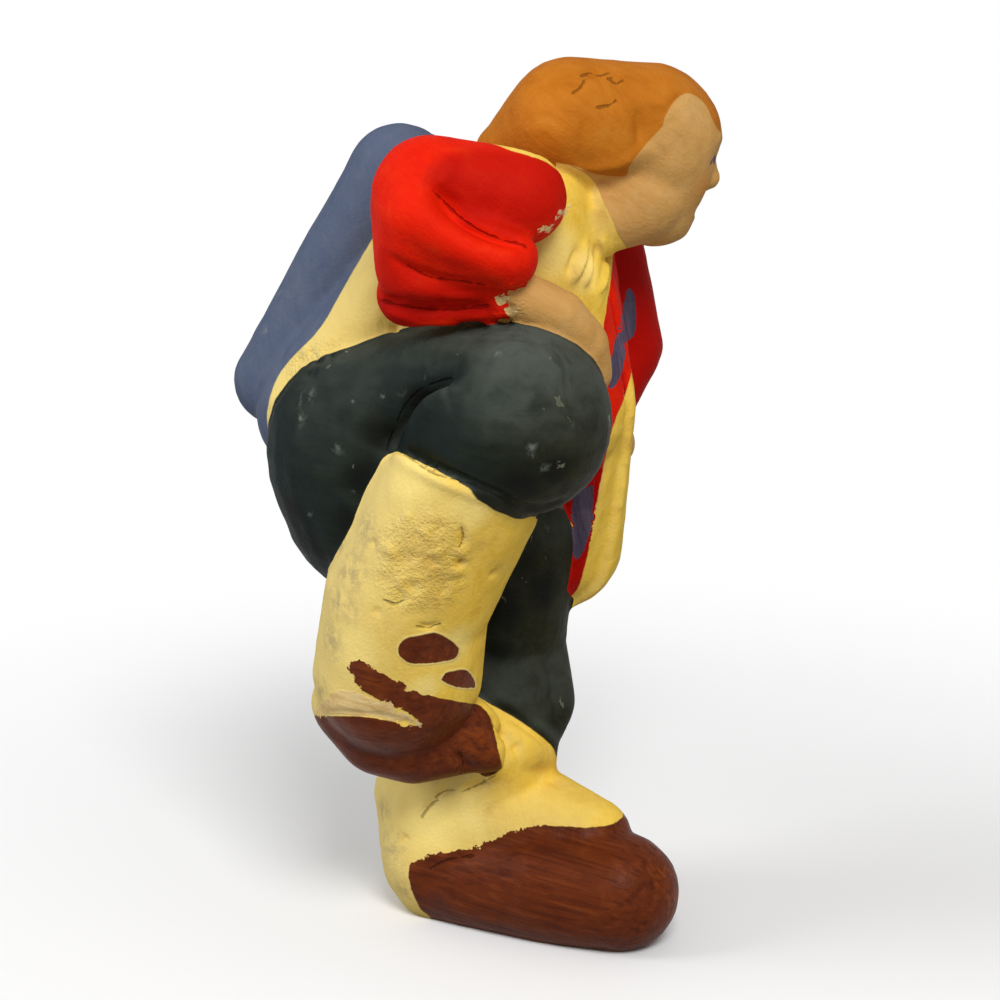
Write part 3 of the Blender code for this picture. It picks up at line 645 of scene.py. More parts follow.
# The red strip in the coat's opening, the bag's side, the bare neck and the standing leg's hem
STRIP = [
    (618, 232), (615, 240), (612, 275), (604, 328), (599, 353), (605, 382), (604, 409), (592, 438),
    (578, 470), (562, 500), (556, 540), (556, 592), (566, 598), (578, 586), (590, 540), (600, 480),
    (611, 430), (625, 393), (635, 350), (635, 294), (633, 262), (626, 244),
]
BAG_SIDE = [
    (380, 224), (346, 282), (320, 327), (289, 360), (274, 383), (266, 415), (265, 460), (200, 460),
    (195, 370), (220, 310), (290, 190), (350, 110), (400, 90), (450, 130), (400, 190),
]
BARE_NECK = [
    (560, 158), (571, 165), (586, 173), (597, 185), (604, 201), (613, 219), (618, 232), (626, 245),
    (634, 256), (660, 260), (740, 240), (760, 100), (640, 90), (560, 120),
]
LEG_LOW = [
    (370, 590), (370, 690), (430, 690), (468, 692), (488, 702), (520, 720), (551, 744), (561, 761),
    (590, 775), (610, 700), (610, 590),
]
UPPER_ARM = [
    (424, 184), (440, 200), (468, 226), (498, 240), (520, 243), (545, 230), (574, 206), (582, 188),
    (566, 160), (535, 148), (480, 142), (444, 150), (425, 166),
]
SLEEVE_FOLD = [
    (376, 298), (402, 302), (440, 306), (478, 301), (498, 309), (470, 317), (420, 322), (388, 324),
]
SLEEVE_LOW = [(380, 250), (400, 262), (440, 282), (480, 288), (490, 300), (440, 304), (385, 300)]
# Where an edge of paint is torn and brushy: marks and reach in mm
TORN = [
    (440, 860, 6.0), (480, 845, 6.0), (520, 830, 5.0), (360, 670, 5.0), (400, 700, 4.5),
    (410, 725, 3.0), (550, 225, 4.0), (520, 300, 4.0), (530, 240, 2.5), (440, 330, 3.0),
    (620, 330, 4.0), (585, 520, 4.0), (320, 715, 2.5),
]
# Soft spots, with marks and reach in mm: painted shade, painted highlights, greyer patches, ochre stains
# and scuffs
# Painted shade: near-black spots in the folds of the trousers, along the raised boot's back and between
# the legs
PAINTED_SHADE_SPOTS = [
    (380, 436, 4.5), (366, 480, 5.0), (352, 530, 5.0), (334, 580, 5.0), (418, 398, 3.0),
    (500, 610, 5.0), (512, 560, 6.0), (545, 590, 4.0), (520, 485, 4.5), (556, 470, 3.5),
    (500, 650, 3.0), (290, 560, 4.0), (292, 515, 4.5), (308, 545, 4.5),
]
# Painted highlights: paler yellow where light falls brightest on the boots and the coat's near front
PAINTED_HIGHLIGHTS = [
    (352, 648, 5.5), (455, 645, 4.5), (430, 825, 6.5), (470, 812, 4.5), (556, 252, 5.0),
    (588, 272, 4.0), (425, 688, 3.0), (410, 480, 5.0), (470, 510, 4.0), (390, 905, 3.5),
]
# Greyer, cooler patches, mostly along the left edges of the boots, which also darken the raised shoe's
# brown to purple-brown
GREYED_SPOTS = [
    (352, 570, 4.5), (338, 600, 3.5), (366, 530, 3.5),
    (328, 732, 3.2), (352, 744, 3.6), (385, 752, 2.6), (440, 905, 3.0),
    (345, 575, 3.0), (372, 540, 2.0), (332, 640, 3.5), (320, 690, 3.0), (392, 850, 4.0),
    (383, 810, 2.5), (405, 890, 2.5), (350, 610, 2.5), (340, 545, 2.0),
]
OCHRE = [
    (480, 738, 3.0), (490, 756, 2.2), (664, 876, 2.8), (674, 902, 2.6), (372, 680, 2.6),
    (430, 560, 6.5), (470, 540, 5.0), (500, 560, 4.0), (445, 600, 4.0), (540, 760, 3.5),
    (625, 440, 3.0), (620, 560, 3.5), (600, 215, 2.5), (575, 280, 3.0), (490, 805, 3.0),
]
SCUFFED = [
    (306, 398, 1.8), (300, 420, 0.9), (352, 403, 0.5), (383, 395, 0.5), (532, 448, 0.8),
    (545, 468, 0.7), (338, 450, 0.5), (352, 494, 0.5), (280, 292, 1.2), (561, 506, 0.5),
    (573, 429, 0.5), (498, 354, 0.5), (547, 357, 0.5), (312, 514, 0.5), (265, 330, 0.8),
]
SPOTS = {
    "torn": TORN, "greyed": GREYED_SPOTS, "ochre": OCHRE, "painted_shade": PAINTED_SHADE_SPOTS, "painted_highlight": PAINTED_HIGHLIGHTS, "scuffed": SCUFFED,
}
# Lengths in mm and shares of the paint edges and the hand's marks
FARTHEST_NOTED = 6.0
DARK_LINE_REACH = 3.0
LEAST_DARK_LINE = 1e-6
CRUMBLE_FADE = 0.6
THUMB_DEPTH, THUMB_SIZE = 0.15, 6.5
FINGER_DEPTH, FINGER_SIZE = 0.09, 2.4
FLAKE_HEIGHT, FLAKE_SIZE, FLAKE_FROM = 0.55, 2.1, 0.05
HOLE_DEPTH, HOLE_SIZE, HOLE_FROM = 0.6, 1.3, 0.18
HOLE_SHIFT = Vector((7.0, 3.0, 5.0))
KEPT_FLAT_BELOW = 0.5
STRIP_TURN, STRIP_FADE = 0.3, 0.35
LEG_LOW_FROM = 640
HAIR_BEHIND = 580.0
BROWN_TOP = 16.0
PALE_RIM = 0.24
BARE_SOLE, BARE_SOLE_FADE = 0.3, 6.0
EYE_HALF, MOUTH_HALF = 0.42, 0.4
ROUGE_REACH = 3.0
# The red's painted shade, on the upper arm, under the sleeve's fold and low on the sleeve: an outline,
# the most it takes, its share at the outline and its fade in mm
RED_SHADE_AREAS = [(UPPER_ARM, 0.6, 0.0, 1.6), (SLEEVE_FOLD, 0.8, 0.5, 0.8), (SLEEVE_LOW, 0.55, 0.5, 1.5)]
# Painted shade on the far sleeve and the shirt, and a lighter share of it on the red that is not seen
FAR_RED_SHADE_EDGE, FAR_RED_SHADE_MOST = 0.6, 0.9
HIDDEN_RED_SHADE, HIDDEN_RED_SHADE_GAIN = 0.3, 0.6
# Shares of painted cool light, some on the sides and more on faces turned behind him, and of painted top
# light on upright and upward faces
COOL_LIGHT_SIDE, COOL_LIGHT_BEHIND = 0.35, 0.7
TOP_LIGHT_SIDE, TOP_LIGHT_ABOVE = 0.15, 0.9


def depth_in_forms(points, forms):
    """Return how deep in mm each point lies in the deepest of some forms, less than 0 outside."""
    deepest = np.full(len(points), FAR_OFF)
    for form in forms:
        for i in near_box(points, form["corners"], -FAR_OFF):
            point = Vector(points[i])
            place, normal, _, gap = form["tree"].find_nearest(point)
            depth = gap if (place - point).dot(normal) > 0.0 else -gap
            for start, way in form["cuts"]:
                depth = min(depth, (start - point).dot(way))
            if depth > deepest[i]:
                deepest[i] = depth
    return deepest


def edge_of(depths, groups):
    """Return how far inside the edge of some groups of forms each point lies, in mm."""
    own = np.max([depths[group] for group in groups], axis=0)
    others = np.max([depth for group, depth in depths.items() if group not in groups], axis=0)
    return own - others


def outline_depth(marks_at, outline, steps=4):
    """Return how far inside a smooth outline of marks each place in the layout view lies."""
    return inside_outline(marks_at, rounded(outline, closed=True, steps=steps))


def drawn_on(marks_at, outline, depths, groups):
    """Return how far inside both an outline and the edge of some groups each point lies."""
    return np.minimum(outline_depth(marks_at, outline), edge_of(depths, groups))


def depth_in_any(marks_at, outlines):
    """Return how far inside the nearest of some outlines each place in the layout view lies."""
    return np.max([outline_depth(marks_at, outline) for outline in outlines], axis=0)


def mirrored_marks(points, centre, across):
    """Return marks of points, those beyond a middle plane taken at their mirror image."""
    middle = np.array(centre)
    way = np.array(across)
    beyond = (points - middle) @ way
    near = points - 2.0 * np.maximum(beyond, 0.0)[:, None] * way
    return np.stack(marks_of(near), axis=1)


def soft_spots(clay, spots):
    """Return 0 to 1 for each seen point: how near it is to the middle of soft round spots."""
    share = np.zeros(len(clay.points))
    for across, down, reach_mm in spots:
        middle = clay.at(across, down)
        if middle is not None:
            gap = np.linalg.norm(clay.points - np.array(middle), axis=1) / reach_mm
            share = np.maximum(share, np.clip(1.0 - gap, 0.0, 1.0))
    return share


def dark_line_places(clay):
    """Return each point's signed offset from the nearest dark line, and its distance, in mm."""
    offset = np.full(len(clay.points), FARTHEST_NOTED)
    nearest = np.full(len(clay.points), FARTHEST_NOTED)
    for marks in DARK_LINES:
        line = clay.trace(marks, steps=4)
        close = near_box(clay.points, line, DARK_LINE_REACH)
        for start, end in zip(line[:-1], line[1:]):
            way = end - start
            length = np.linalg.norm(way)
            if length < LEAST_DARK_LINE or length > DARK_LINE_REACH:
                continue
            t = np.clip(((clay.points[close] - start) @ way) / length ** 2, 0.0, 1.0)
            gap = clay.points[close] - start - t[:, None] * way
            near = np.linalg.norm(gap, axis=1)
            closer = near < nearest[close]
            found = close[closer]
            nearest[found] = near[closer]
            aside = np.cross(clay.outward[found], way / length)
            offset[found] = np.einsum("ij,ij->i", gap[closer], aside)
    return offset, nearest


def crumbled_share(clay):
    """Return 0 to 1 for each point: how crumbled the clay is there."""
    share = np.zeros(len(clay.points))
    for outline in CRUMBLED:
        depth = outline_depth(clay.flat_marks, outline)
        share = np.maximum(share, np.clip(0.5 + CRUMBLE_FADE * depth, 0.0, 1.0))
    return np.where(clay.seen, share, 0.0)


def lumps_by_hand(clay):
    """Move the clay in the small unevenness that thumbs leave, and crumble its rough faces."""
    crumbled = crumbled_share(clay)
    for i, point in enumerate(clay.points):
        place = Vector(point)
        thumbed = THUMB_DEPTH * noise.noise(place / THUMB_SIZE)
        amount = thumbed + FINGER_DEPTH * noise.noise(place / FINGER_SIZE)
        if crumbled[i] > 0.0:
            flake = max(0.0, noise.noise(place / FLAKE_SIZE) - FLAKE_FROM)
            pit = max(0.0, noise.noise(place / HOLE_SIZE + HOLE_SHIFT) - HOLE_FROM)
            amount += crumbled[i] * (FLAKE_HEIGHT * flake - HOLE_DEPTH * pit)
        if point[2] > KEPT_FLAT_BELOW:
            clay.points[i] += amount * clay.outward[i]


def sculpt(clay):
    """Press the folds, ridges, cracks and pits into the near side."""
    for marks, width, depth in GROOVES:
        line = clay.trace(marks)
        if len(line):
            clay.press(line, width, depth)
    for across, down, width, depth in PITS:
        clay.press(clay.trace([(across, down), (across + 1, down)], steps=1)[:1], width, depth)


def face_line(clay, head, turn, places, steps=4):
    """Return a line on the face through places given to his left of the nose and up, in mm."""
    line = []
    for left, up in rounded(places, steps=steps):
        start = head + turn @ Vector((BEFORE_FACE, float(left), float(up)))
        found = clay.tree.ray_cast(start, turn @ -FORWARD)[0]
        if found is not None:
            line.append(tuple(found))
    return np.array(line)


# A plain painted face, in mm left of the nose and up: the eyes, brows and cheeks are mirrored
EYE_LINE = [(1.9, -0.2), (3.3, 0.4), (4.7, -0.1)]
BROW_LINE = [(1.7, 2.3), (3.4, 3.0), (5.2, 2.4)]
MOUTH_LINE = [(-2.1, -6.6), (0.0, -6.9), (2.1, -6.6)]
EYE_SOCKET = (3.2, 0.2)
CHEEK = (4.5, -3.4)
CHIN = (0.0, -10.2)
LOWER_LIP = [(-1.4, -7.9), (1.4, -7.9)]
BEFORE_FACE = 40.0


def on_side(side, places):
    """Return places on the face's left (1) or at their mirror image (-1)."""
    return [(side * left, up) for left, up in places]


def face_spot(clay, head, turn, side, place):
    """Return one place on the face as a line of a single point."""
    return face_line(clay, head, turn, on_side(side, [place]) * 2)[:1]


def model_face(clay, head, turn):
    """Press in the eyes and the mouth, and raise the brows, the cheeks and the chin."""
    for side in (-1.0, 1.0):
        clay.press(face_spot(clay, head, turn, side, EYE_SOCKET), width=1.7, depth=0.5)
        clay.press(face_spot(clay, head, turn, side, CHEEK), width=2.4, depth=-0.35)
        clay.press(face_line(clay, head, turn, on_side(side, BROW_LINE)), width=1.0, depth=-0.25)
    clay.press(face_line(clay, head, turn, MOUTH_LINE), width=0.55, depth=0.4)
    clay.press(face_line(clay, head, turn, LOWER_LIP), width=0.8, depth=-0.25)
    clay.press(face_spot(clay, head, turn, 1.0, CHIN), width=2.0, depth=-0.3)


def note_attribute(mesh, name, values):
    """Keep one number for each point of a mesh, for its paint to read."""
    attribute = mesh.attributes.new(name, "FLOAT", "POINT")
    values = np.clip(values, -FARTHEST_NOTED, FARTHEST_NOTED).astype(np.float32)
    attribute.data.foreach_set("value", values)


def clothes_edges(clay, depths, edges):
    """Settle the edges of the red, the pack and the trousers."""
    marks = clay.flat_marks
    on_coat = edge_of(depths, ["coat", "shirt"])
    strip = np.minimum(outline_depth(marks, STRIP), on_coat)
    edge_of_coat = np.where(clay.seen, outline_depth(marks, SHOULDER_EDGE), FAR_OFF)
    on_sleeves = np.minimum(edge_of(depths, ["right_sleeve", "left_sleeve"]), -edge_of_coat)
    share = np.clip((clay.facing + STRIP_TURN) / STRIP_FADE, 0.0, 1.0)
    front = share * strip + (1.0 - share) * np.minimum(edges["red"], on_coat)
    edges["red"] = np.maximum(front, on_sleeves)
    bag_side = drawn_on(marks, BAG_SIDE, depths, ["coat", "pack"])
    edges["pack"] = np.where(clay.seen, bag_side, edges["pack"])
    leg = drawn_on(marks, LEG_LOW, depths, ["trousers", "left_boot", "left_shoe"])
    edges["trousers"] = np.where(clay.down > LEG_LOW_FROM, leg, edges["trousers"])


def head_edges(clay, depths, edges, head, turn):
    """Settle the edges of the hair and of the bare skin."""
    head_marks = mirrored_marks(clay.points, head, turn @ LEFT)
    on_head = edge_of(depths, ["hair", "face", "neck"])
    hair = np.minimum(outline_depth(head_marks, HAIR_OUTLINE), on_head)
    behind = np.minimum(edge_of(depths, ["hair"]), (HAIR_BEHIND - head_marks[:, 0]) * MARK_MM)
    edges["hair"] = np.where(clay.seen, hair, np.maximum(hair, behind))
    bare_neck = drawn_on(clay.flat_marks, BARE_NECK, depths, ["hair", "face", "neck", "coat"])
    own_neck = np.where(clay.seen, bare_neck, on_head)
    edges["flesh"] = np.maximum(edge_of(depths, ["right_hand", "left_hand"]), own_neck)


def small_edges(clay, depths, edges):
    """Settle the edges of the brown, its pale rim, the bare clay and the blue patches."""
    marks = clay.flat_marks
    seen = clay.seen
    height = clay.points[:, 2]
    foot_middle = Matrix.Rotation(radians(TOE_TURN), 3, "Z") @ LEFT
    foot_marks = mirrored_marks(clay.points, HEEL_AT, foot_middle)
    brown = drawn_on(foot_marks, STANDING_SHOE, depths, ["left_shoe", "left_boot"])
    brown = np.minimum(brown, BROWN_TOP - height)
    on_boot = edge_of(depths, ["right_boot", "right_shoe"])
    patches = depth_in_any(marks, [BOOT_PATCH, SMALL_PATCH])
    patches = np.where(seen, np.minimum(patches, on_boot), FAR_OFF)
    shoe = np.where(seen, np.minimum(outline_depth(marks, RAISED_SHOE), on_boot), FAR_OFF)
    hidden_shoe = np.where(seen, FAR_OFF, edge_of(depths, ["right_shoe"]))
    edges["pale"] = patches + PALE_RIM
    edges["brown"] = np.max([brown, patches, shoe, hidden_shoe], axis=0)
    bare = depth_in_any(marks, BARE_PATCHES)
    edges["bare"] = np.maximum(np.where(seen, bare, FAR_OFF), BARE_SOLE - BARE_SOLE_FADE * height)
    blue = depth_in_any(marks, STRIP_PATCHES)
    edges["blue"] = np.where(seen, np.minimum(blue, edges["red"]), FAR_OFF)


def red_shade_share(clay, depths):
    """Return 0 to 1 for each point: how much painted shade darkens the red there."""
    near = np.zeros(len(clay.points))
    for outline, most, at_edge, fade_mm in RED_SHADE_AREAS:
        depth = outline_depth(clay.flat_marks, outline) / fade_mm
        near = np.maximum(near, most * np.clip(at_edge + depth, 0.0, 1.0))
    far = np.clip(FAR_RED_SHADE_EDGE + edge_of(depths, ["left_sleeve", "shirt"]), 0.0, FAR_RED_SHADE_MOST)
    return np.where(clay.seen, np.maximum(near, far), HIDDEN_RED_SHADE + HIDDEN_RED_SHADE_GAIN * far)


def keep_paint(clay, forms, head, turn):
    """Keep how far inside each paint's edge every point lies, in mm, and the shares of wear, stains, and
    painted light and shade.
    """
    depths = {name: depth_in_forms(clay.points, group) for name, group in forms.items()}
    edges = {paint: edge_of(depths, groups) for paint, groups in PAINTS.items()}
    clothes_edges(clay, depths, edges)
    head_edges(clay, depths, edges, head, turn)
    small_edges(clay, depths, edges)
    eyes = [face_line(clay, head, turn, on_side(side, EYE_LINE)) for side in (-1.0, 1.0)]
    edges["eyes"] = EYE_HALF - np.min([along_line(clay.points, line)[0] for line in eyes], axis=0)
    mouth = face_line(clay, head, turn, MOUTH_LINE)
    edges["mouth"] = MOUTH_HALF - along_line(clay.points, mouth)[0]
    for paint, edge in edges.items():
        note_attribute(clay.mesh, paint + "_edge", edge)

    cheeks = [face_spot(clay, head, turn, side, CHEEK)[0] for side in (-1.0, 1.0)]
    gaps = np.min([np.linalg.norm(clay.points - cheek, axis=1) for cheek in cheeks], axis=0)
    offset, nearest = dark_line_places(clay)
    rearward = -(clay.outward @ np.array(VIEW_RIGHT))
    shares = {name: soft_spots(clay, spots) for name, spots in SPOTS.items()}
    shares["rouge"] = np.clip(1.0 - gaps / ROUGE_REACH, 0.0, 1.0)
    shares["dark_line_offset"] = offset
    shares["dark_line_gap"] = nearest
    shares["red_shade"] = red_shade_share(clay, depths)
    # Painted cool light: yellow paler and cooler, cloth bluer, on faces turned behind him and a little
    # on the sides
    shares["cool_side_light"] = np.clip(COOL_LIGHT_SIDE + COOL_LIGHT_BEHIND * rearward, 0.0, 1.0)
    # Painted top light: the dark cloth lighter on upward faces, a little on upright ones
    shares["lit_from_above"] = np.clip(TOP_LIGHT_SIDE + TOP_LIGHT_ABOVE * clay.outward[:, 2], 0.0, 1.0)
    shares["crumbled"] = crumbled_share(clay)
    for name, share in shares.items():
        note_attribute(clay.mesh, name, share)


def thinned(mesh, share):
    """Return a mesh with its flatter faces merged, down to a share of its triangles."""
    dense = placed("dense_clay", mesh)
    fewer = dense.modifiers.new("fewer_facets", "DECIMATE")
    fewer.ratio = share
    thin = with_modifiers(dense)
    thin.name = "clay_man"
    return thin


def make_man():
    """Return the clay man: skin, marks and paint edges."""
    forms, head, turn = figure()
    for group in forms.values():
        for form in group:
            form["skin"] = form_mesh(form)
    clay = Clay(clay_mesh(forms))
    clay.find_seen()
    lumps_by_hand(clay)
    clay.refresh()
    sculpt(clay)
    model_face(clay, head, turn)
    clay.points[:, 2] = np.maximum(clay.points[:, 2], 0.0)
    clay.refresh()
    facets = sum(len(face.vertices) - 2 for face in clay.mesh.polygons)
    clay = Clay(thinned(clay.mesh, min(1.0, MOST_FACETS / facets)))
    clay.find_seen()
    keep_paint(clay, forms, head, turn)
    man = placed("clay_man", clay.mesh)
    for face in clay.mesh.polygons:
        face.use_smooth = True
    return man


def linear(red, green, blue):
    """Return a colour given in 0 to 255 as a shader takes it."""
    channels = []
    for part in (red / 255, green / 255, blue / 255):
        channels.append(part / 12.92 if part <= 0.04045 else ((part + 0.055) / 1.055) ** 2.4)
    return (*channels, 1.0)


def add_node(tree, kind, inputs=None, **settings):
    """Add a node with settings, and values or links for its inputs by name or number."""
    node = tree.nodes.new(kind)
    for name, value in settings.items():
        setattr(node, name, value)
    for key, value in (inputs or {}).items():
        if isinstance(value, bpy.types.NodeSocket):
            tree.links.new(value, node.inputs[key])
        else:
            node.inputs[key].default_value = value
    return node


def calculate(tree, operation, first, second=0.0):
    """Return the result of a Math node."""
    return add_node(tree, "ShaderNodeMath", {0: first, 1: second}, operation=operation).outputs[0]


def times(tree, first, second):
    """Return the product of two values."""
    return calculate(tree, "MULTIPLY", first, second)


def fade(tree, value, low, high):
    """Return a value eased from 0 at low to 1 at high."""
    inputs = {"Value": value, "From Min": low, "From Max": high}
    return add_node(tree, "ShaderNodeMapRange", inputs, interpolation_type="SMOOTHSTEP").outputs[0]


def blend_colours(tree, share, below, above):
    """Return one colour laid over another by a share."""
    inputs = {0: share, 6: below, 7: above}
    return add_node(tree, "ShaderNodeMix", inputs, data_type="RGBA").outputs[2]


def blend_values(tree, share, below, above):
    """Return one value laid over another by a share."""
    return add_node(tree, "ShaderNodeMix", {0: share, 2: below, 3: above}, data_type="FLOAT").outputs[0]


# Tints over the paints: the most of each that is laid on, and its colour in 0 to 255. Several stand for
# light and shade: the cooler yellow and bluer cloth are painted side light, the paler yellow spots
# painted highlights, the lighter cloth painted top light, the darker red and the near-black painted
# shade, and the dark lines partly painted shade in creases.
TINTS = {
    "yellow in cool side light": (0.8, (226, 206, 138)),
    "painted_highlight": (0.7, (254, 228, 138)),
    "ochre stain": (0.75, (196, 156, 74)),
    "greyed yellow": (0.6, (150, 136, 108)),
    "rouge": (0.7, (200, 124, 46)),
    "red shade": (1.0, (164, 4, 0)),
    "cloth in cool side light": (0.8, (10, 28, 31)),
    "top_light": (0.75, (88, 95, 88)),
    "near-black shade": (0.85, (6, 8, 5)),
    "glaze": (0.6, (146, 70, 20)),
    "dark brown": (0.6, (70, 34, 31)),
    "flecks": (0.7, (140, 140, 118)),
    "scuff": (0.7, (140, 146, 136)),
    "dark_line": (0.42, (0, 0, 0)),
}
# Noise in the paint: its scale per metre, detail, roughness and distortion
NOISES = {
    "blotch": (230.0, 4.0, 0.6, 0.7),
    "broad": (650.0, 3.0, 0.7, 0.0),
    "stroke": (1.0, 3.0, 0.62, 0.3),
    "fleck warp": (1100.0, 2.0, 0.5, 0.0),
    "grit": (2300.0, 2.0, 0.6, 0.0),
}


def tint(tree, below, share, name):
    """Return a colour with a tint laid over it by a share of the tint's most."""
    most, paint = TINTS[name]
    return blend_colours(tree, times(tree, share, most), below, linear(*paint))


def cloud(tree, vector, name, output="Fac"):
    """Return noise about 0.5 over a vector, or its colour."""
    inputs = dict(zip(("Scale", "Detail", "Roughness", "Distortion"), NOISES[name]))
    return add_node(tree, "ShaderNodeTexNoise", {"Vector": vector, **inputs}).outputs[output]


def new_group(name, inputs, outputs):
    """Return a new shader node group with its inner input and output nodes."""
    tree = bpy.data.node_groups.new(name, "ShaderNodeTree")
    for socket, kind in inputs:
        tree.interface.new_socket(socket, in_out="INPUT", socket_type="NodeSocket" + kind)
    for socket, kind in outputs:
        tree.interface.new_socket(socket, in_out="OUTPUT", socket_type="NodeSocket" + kind)
    return tree, tree.nodes.new("NodeGroupInput").outputs, tree.nodes.new("NodeGroupOutput").inputs


def brushed_paint_group():
    """Make the group for paint brushed on: long streaks and blotches of two tones."""
    tree, given, out = new_group(
        "brushed paint",
        [("Stroke", "Float"), ("Blotch", "Float"), ("Paint", "Color"), ("Deep", "Color"),
         ("Pale", "Color"), ("Streaks", "Float"), ("Blotches", "Float")],
        [("Colour", "Color")],
    )
    deep_streak = times(tree, fade(tree, given["Stroke"], 0.5, 0.34), given["Streaks"])
    pale_streak = times(tree, fade(tree, given["Stroke"], 0.53, 0.7), given["Streaks"])
    deep_blotch = times(tree, fade(tree, given["Blotch"], 0.5, 0.28), given["Blotches"])
    pale_blotch = times(tree, fade(tree, given["Blotch"], 0.5, 0.72), given["Blotches"])
    colour = blend_colours(tree, deep_blotch, given["Paint"], given["Deep"])
    colour = blend_colours(tree, pale_blotch, colour, given["Pale"])
    colour = blend_colours(tree, deep_streak, colour, given["Deep"])
    colour = blend_colours(tree, pale_streak, colour, given["Pale"])
    tree.links.new(colour, out["Colour"])
    return tree


def ragged_edge_group():
    """Make the group that turns the distance inside a paint's edge into its uneven cover."""
    tree, given, out = new_group(
        "ragged paint edge",
        [("Edge", "Float"), ("Wobble", "Float"), ("Tear", "Float"), ("Spread", "Float")],
        [("Cover", "Float")],
    )
    shake = times(tree, given["Wobble"], given["Tear"])
    edge = calculate(tree, "ADD", calculate(tree, "ADD", given["Edge"], given["Spread"]), shake)
    tree.links.new(fade(tree, edge, -0.08, 0.08), out["Cover"])
    return tree


def specks_group():
    """Make the group for small flecks: scattered spots of uneven size, drawn out by the vector."""
    tree, given, out = new_group(
        "scattered flecks",
        [("Vector", "Vector"), ("Warp", "Color"), ("Amount", "Float")],
        [("Flecks", "Float")],
    )
    push = add_node(tree, "ShaderNodeVectorMath", {0: given["Warp"], 3: 0.9}, operation="SCALE")
    inputs = {0: given["Vector"], 1: push.outputs[0]}
    moved = add_node(tree, "ShaderNodeVectorMath", inputs, operation="ADD")
    cells = add_node(tree, "ShaderNodeTexVoronoi", {"Vector": moved.outputs[0], "Scale": 1.0})
    pick = add_node(tree, "ShaderNodeSeparateColor", {0: cells.outputs["Color"]})
    rare = calculate(tree, "SUBTRACT", 1.0, given["Amount"])
    size = times(tree, fade(tree, pick.outputs[0], rare, 1.0), 0.32)
    spot = fade(tree, calculate(tree, "SUBTRACT", size, cells.outputs["Distance"]), 0.0, 0.08)
    tree.links.new(times(tree, spot, pick.outputs[1]), out["Flecks"])
    return tree


# Each paint, in the order they are laid on: its colour, deep tone and pale tone, its streaks and
# blotches, its roughness, the brush direction, and how far its edge tears and spreads, in mm
PAINT_LOOKS = {
    "yellow": ((244, 203, 80), (220, 170, 52), (250, 218, 112), 0.2, 0.5, 0.8, "upright", 0.0, 0.0),
    "flesh": ((200, 152, 86), (174, 126, 62), (212, 168, 108), 0.16, 0.45, 0.72, "slanted", 0.4, 0.1),
    "pack": ((86, 96, 118), (72, 84, 108), (100, 106, 122), 0.2, 0.5, 0.8, "upright", 0.5, 0.1),
    "trousers": ((33, 33, 16), (14, 15, 7), (48, 48, 28), 0.4, 0.55, 0.6, "level", 0.4, 0.1),
    "red": ((222, 28, 0), (196, 10, 0), (230, 54, 6), 0.14, 0.4, 0.7, "slanted", 1.0, 0.1),
    "blue": ((80, 72, 92), (58, 50, 72), (104, 94, 110), 0.5, 0.5, 0.7, "upright", 1.4, 0.1),
    "hair": ((186, 110, 26), (164, 88, 10), (196, 124, 42), 0.18, 0.5, 0.7, "slanted", 0.3, 0.05),
    "pale": ((242, 214, 126), (230, 196, 100), (248, 226, 150), 0.2, 0.3, 0.8, "level", 0.4, 0.0),
    "brown": ((98, 42, 16), (68, 26, 12), (124, 60, 28), 0.6, 0.4, 0.42, "level", 1.2, 0.0),
    "bare": ((230, 198, 134), (196, 156, 98), (242, 218, 164), 0.5, 0.6, 0.86, "level", 1.8, 0.0),
    "eyes": ((66, 24, 16), (50, 18, 12), (84, 34, 22), 0.2, 0.2, 0.5, "level", 0.3, 0.0),
    "mouth": ((150, 84, 36), (128, 66, 28), (168, 100, 50), 0.3, 0.3, 0.55, "level", 0.4, 0.0),
}
BRUSH_LEANS = {"upright": (0.0, 78.0, 0.0), "slanted": (0.0, 35.0, 10.0), "level": (0.0, 6.0, -6.0)}
BRUSH_MARK = (0.014, 0.0008, 0.0008)
FLECK_MARK = (0.0034, 0.0016, 0.0034)
FLECK_LEAN = (0.5, 0.9, 0.3)
LEAST_WOBBLE, WOBBLE_MM = 0.12, 2.6
STROKE_HEIGHT, COAT_OF_PAINT = 0.35, 0.22
BUMP_METRES, BUMP_STRENGTH = 0.00026, 0.8
MATTE = 0.08


def new_material(name):
    """Make a material, and return it with its node tree and its shader."""
    material = bpy.data.materials.new(name)
    material.use_nodes = True
    return material, material.node_tree, material.node_tree.nodes["Principled BSDF"]


def add_group(tree, group, inputs):
    """Place a node group with values or links for its inputs, and return its outputs."""
    return add_node(tree, "ShaderNodeGroup", inputs, node_tree=group).outputs


def kept(tree, name):
    """Return one number that the mesh keeps for each point."""
    return add_node(tree, "ShaderNodeAttribute", attribute_name=name).outputs["Fac"]


def drawn_out(tree, place, lean, size):
    """Return a place stretched into marks of a lean and a size in metres."""
    inputs = {"Vector": place, "Rotation": lean, "Scale": size}
    return add_node(tree, "ShaderNodeMapping", inputs, vector_type="TEXTURE").outputs[0]


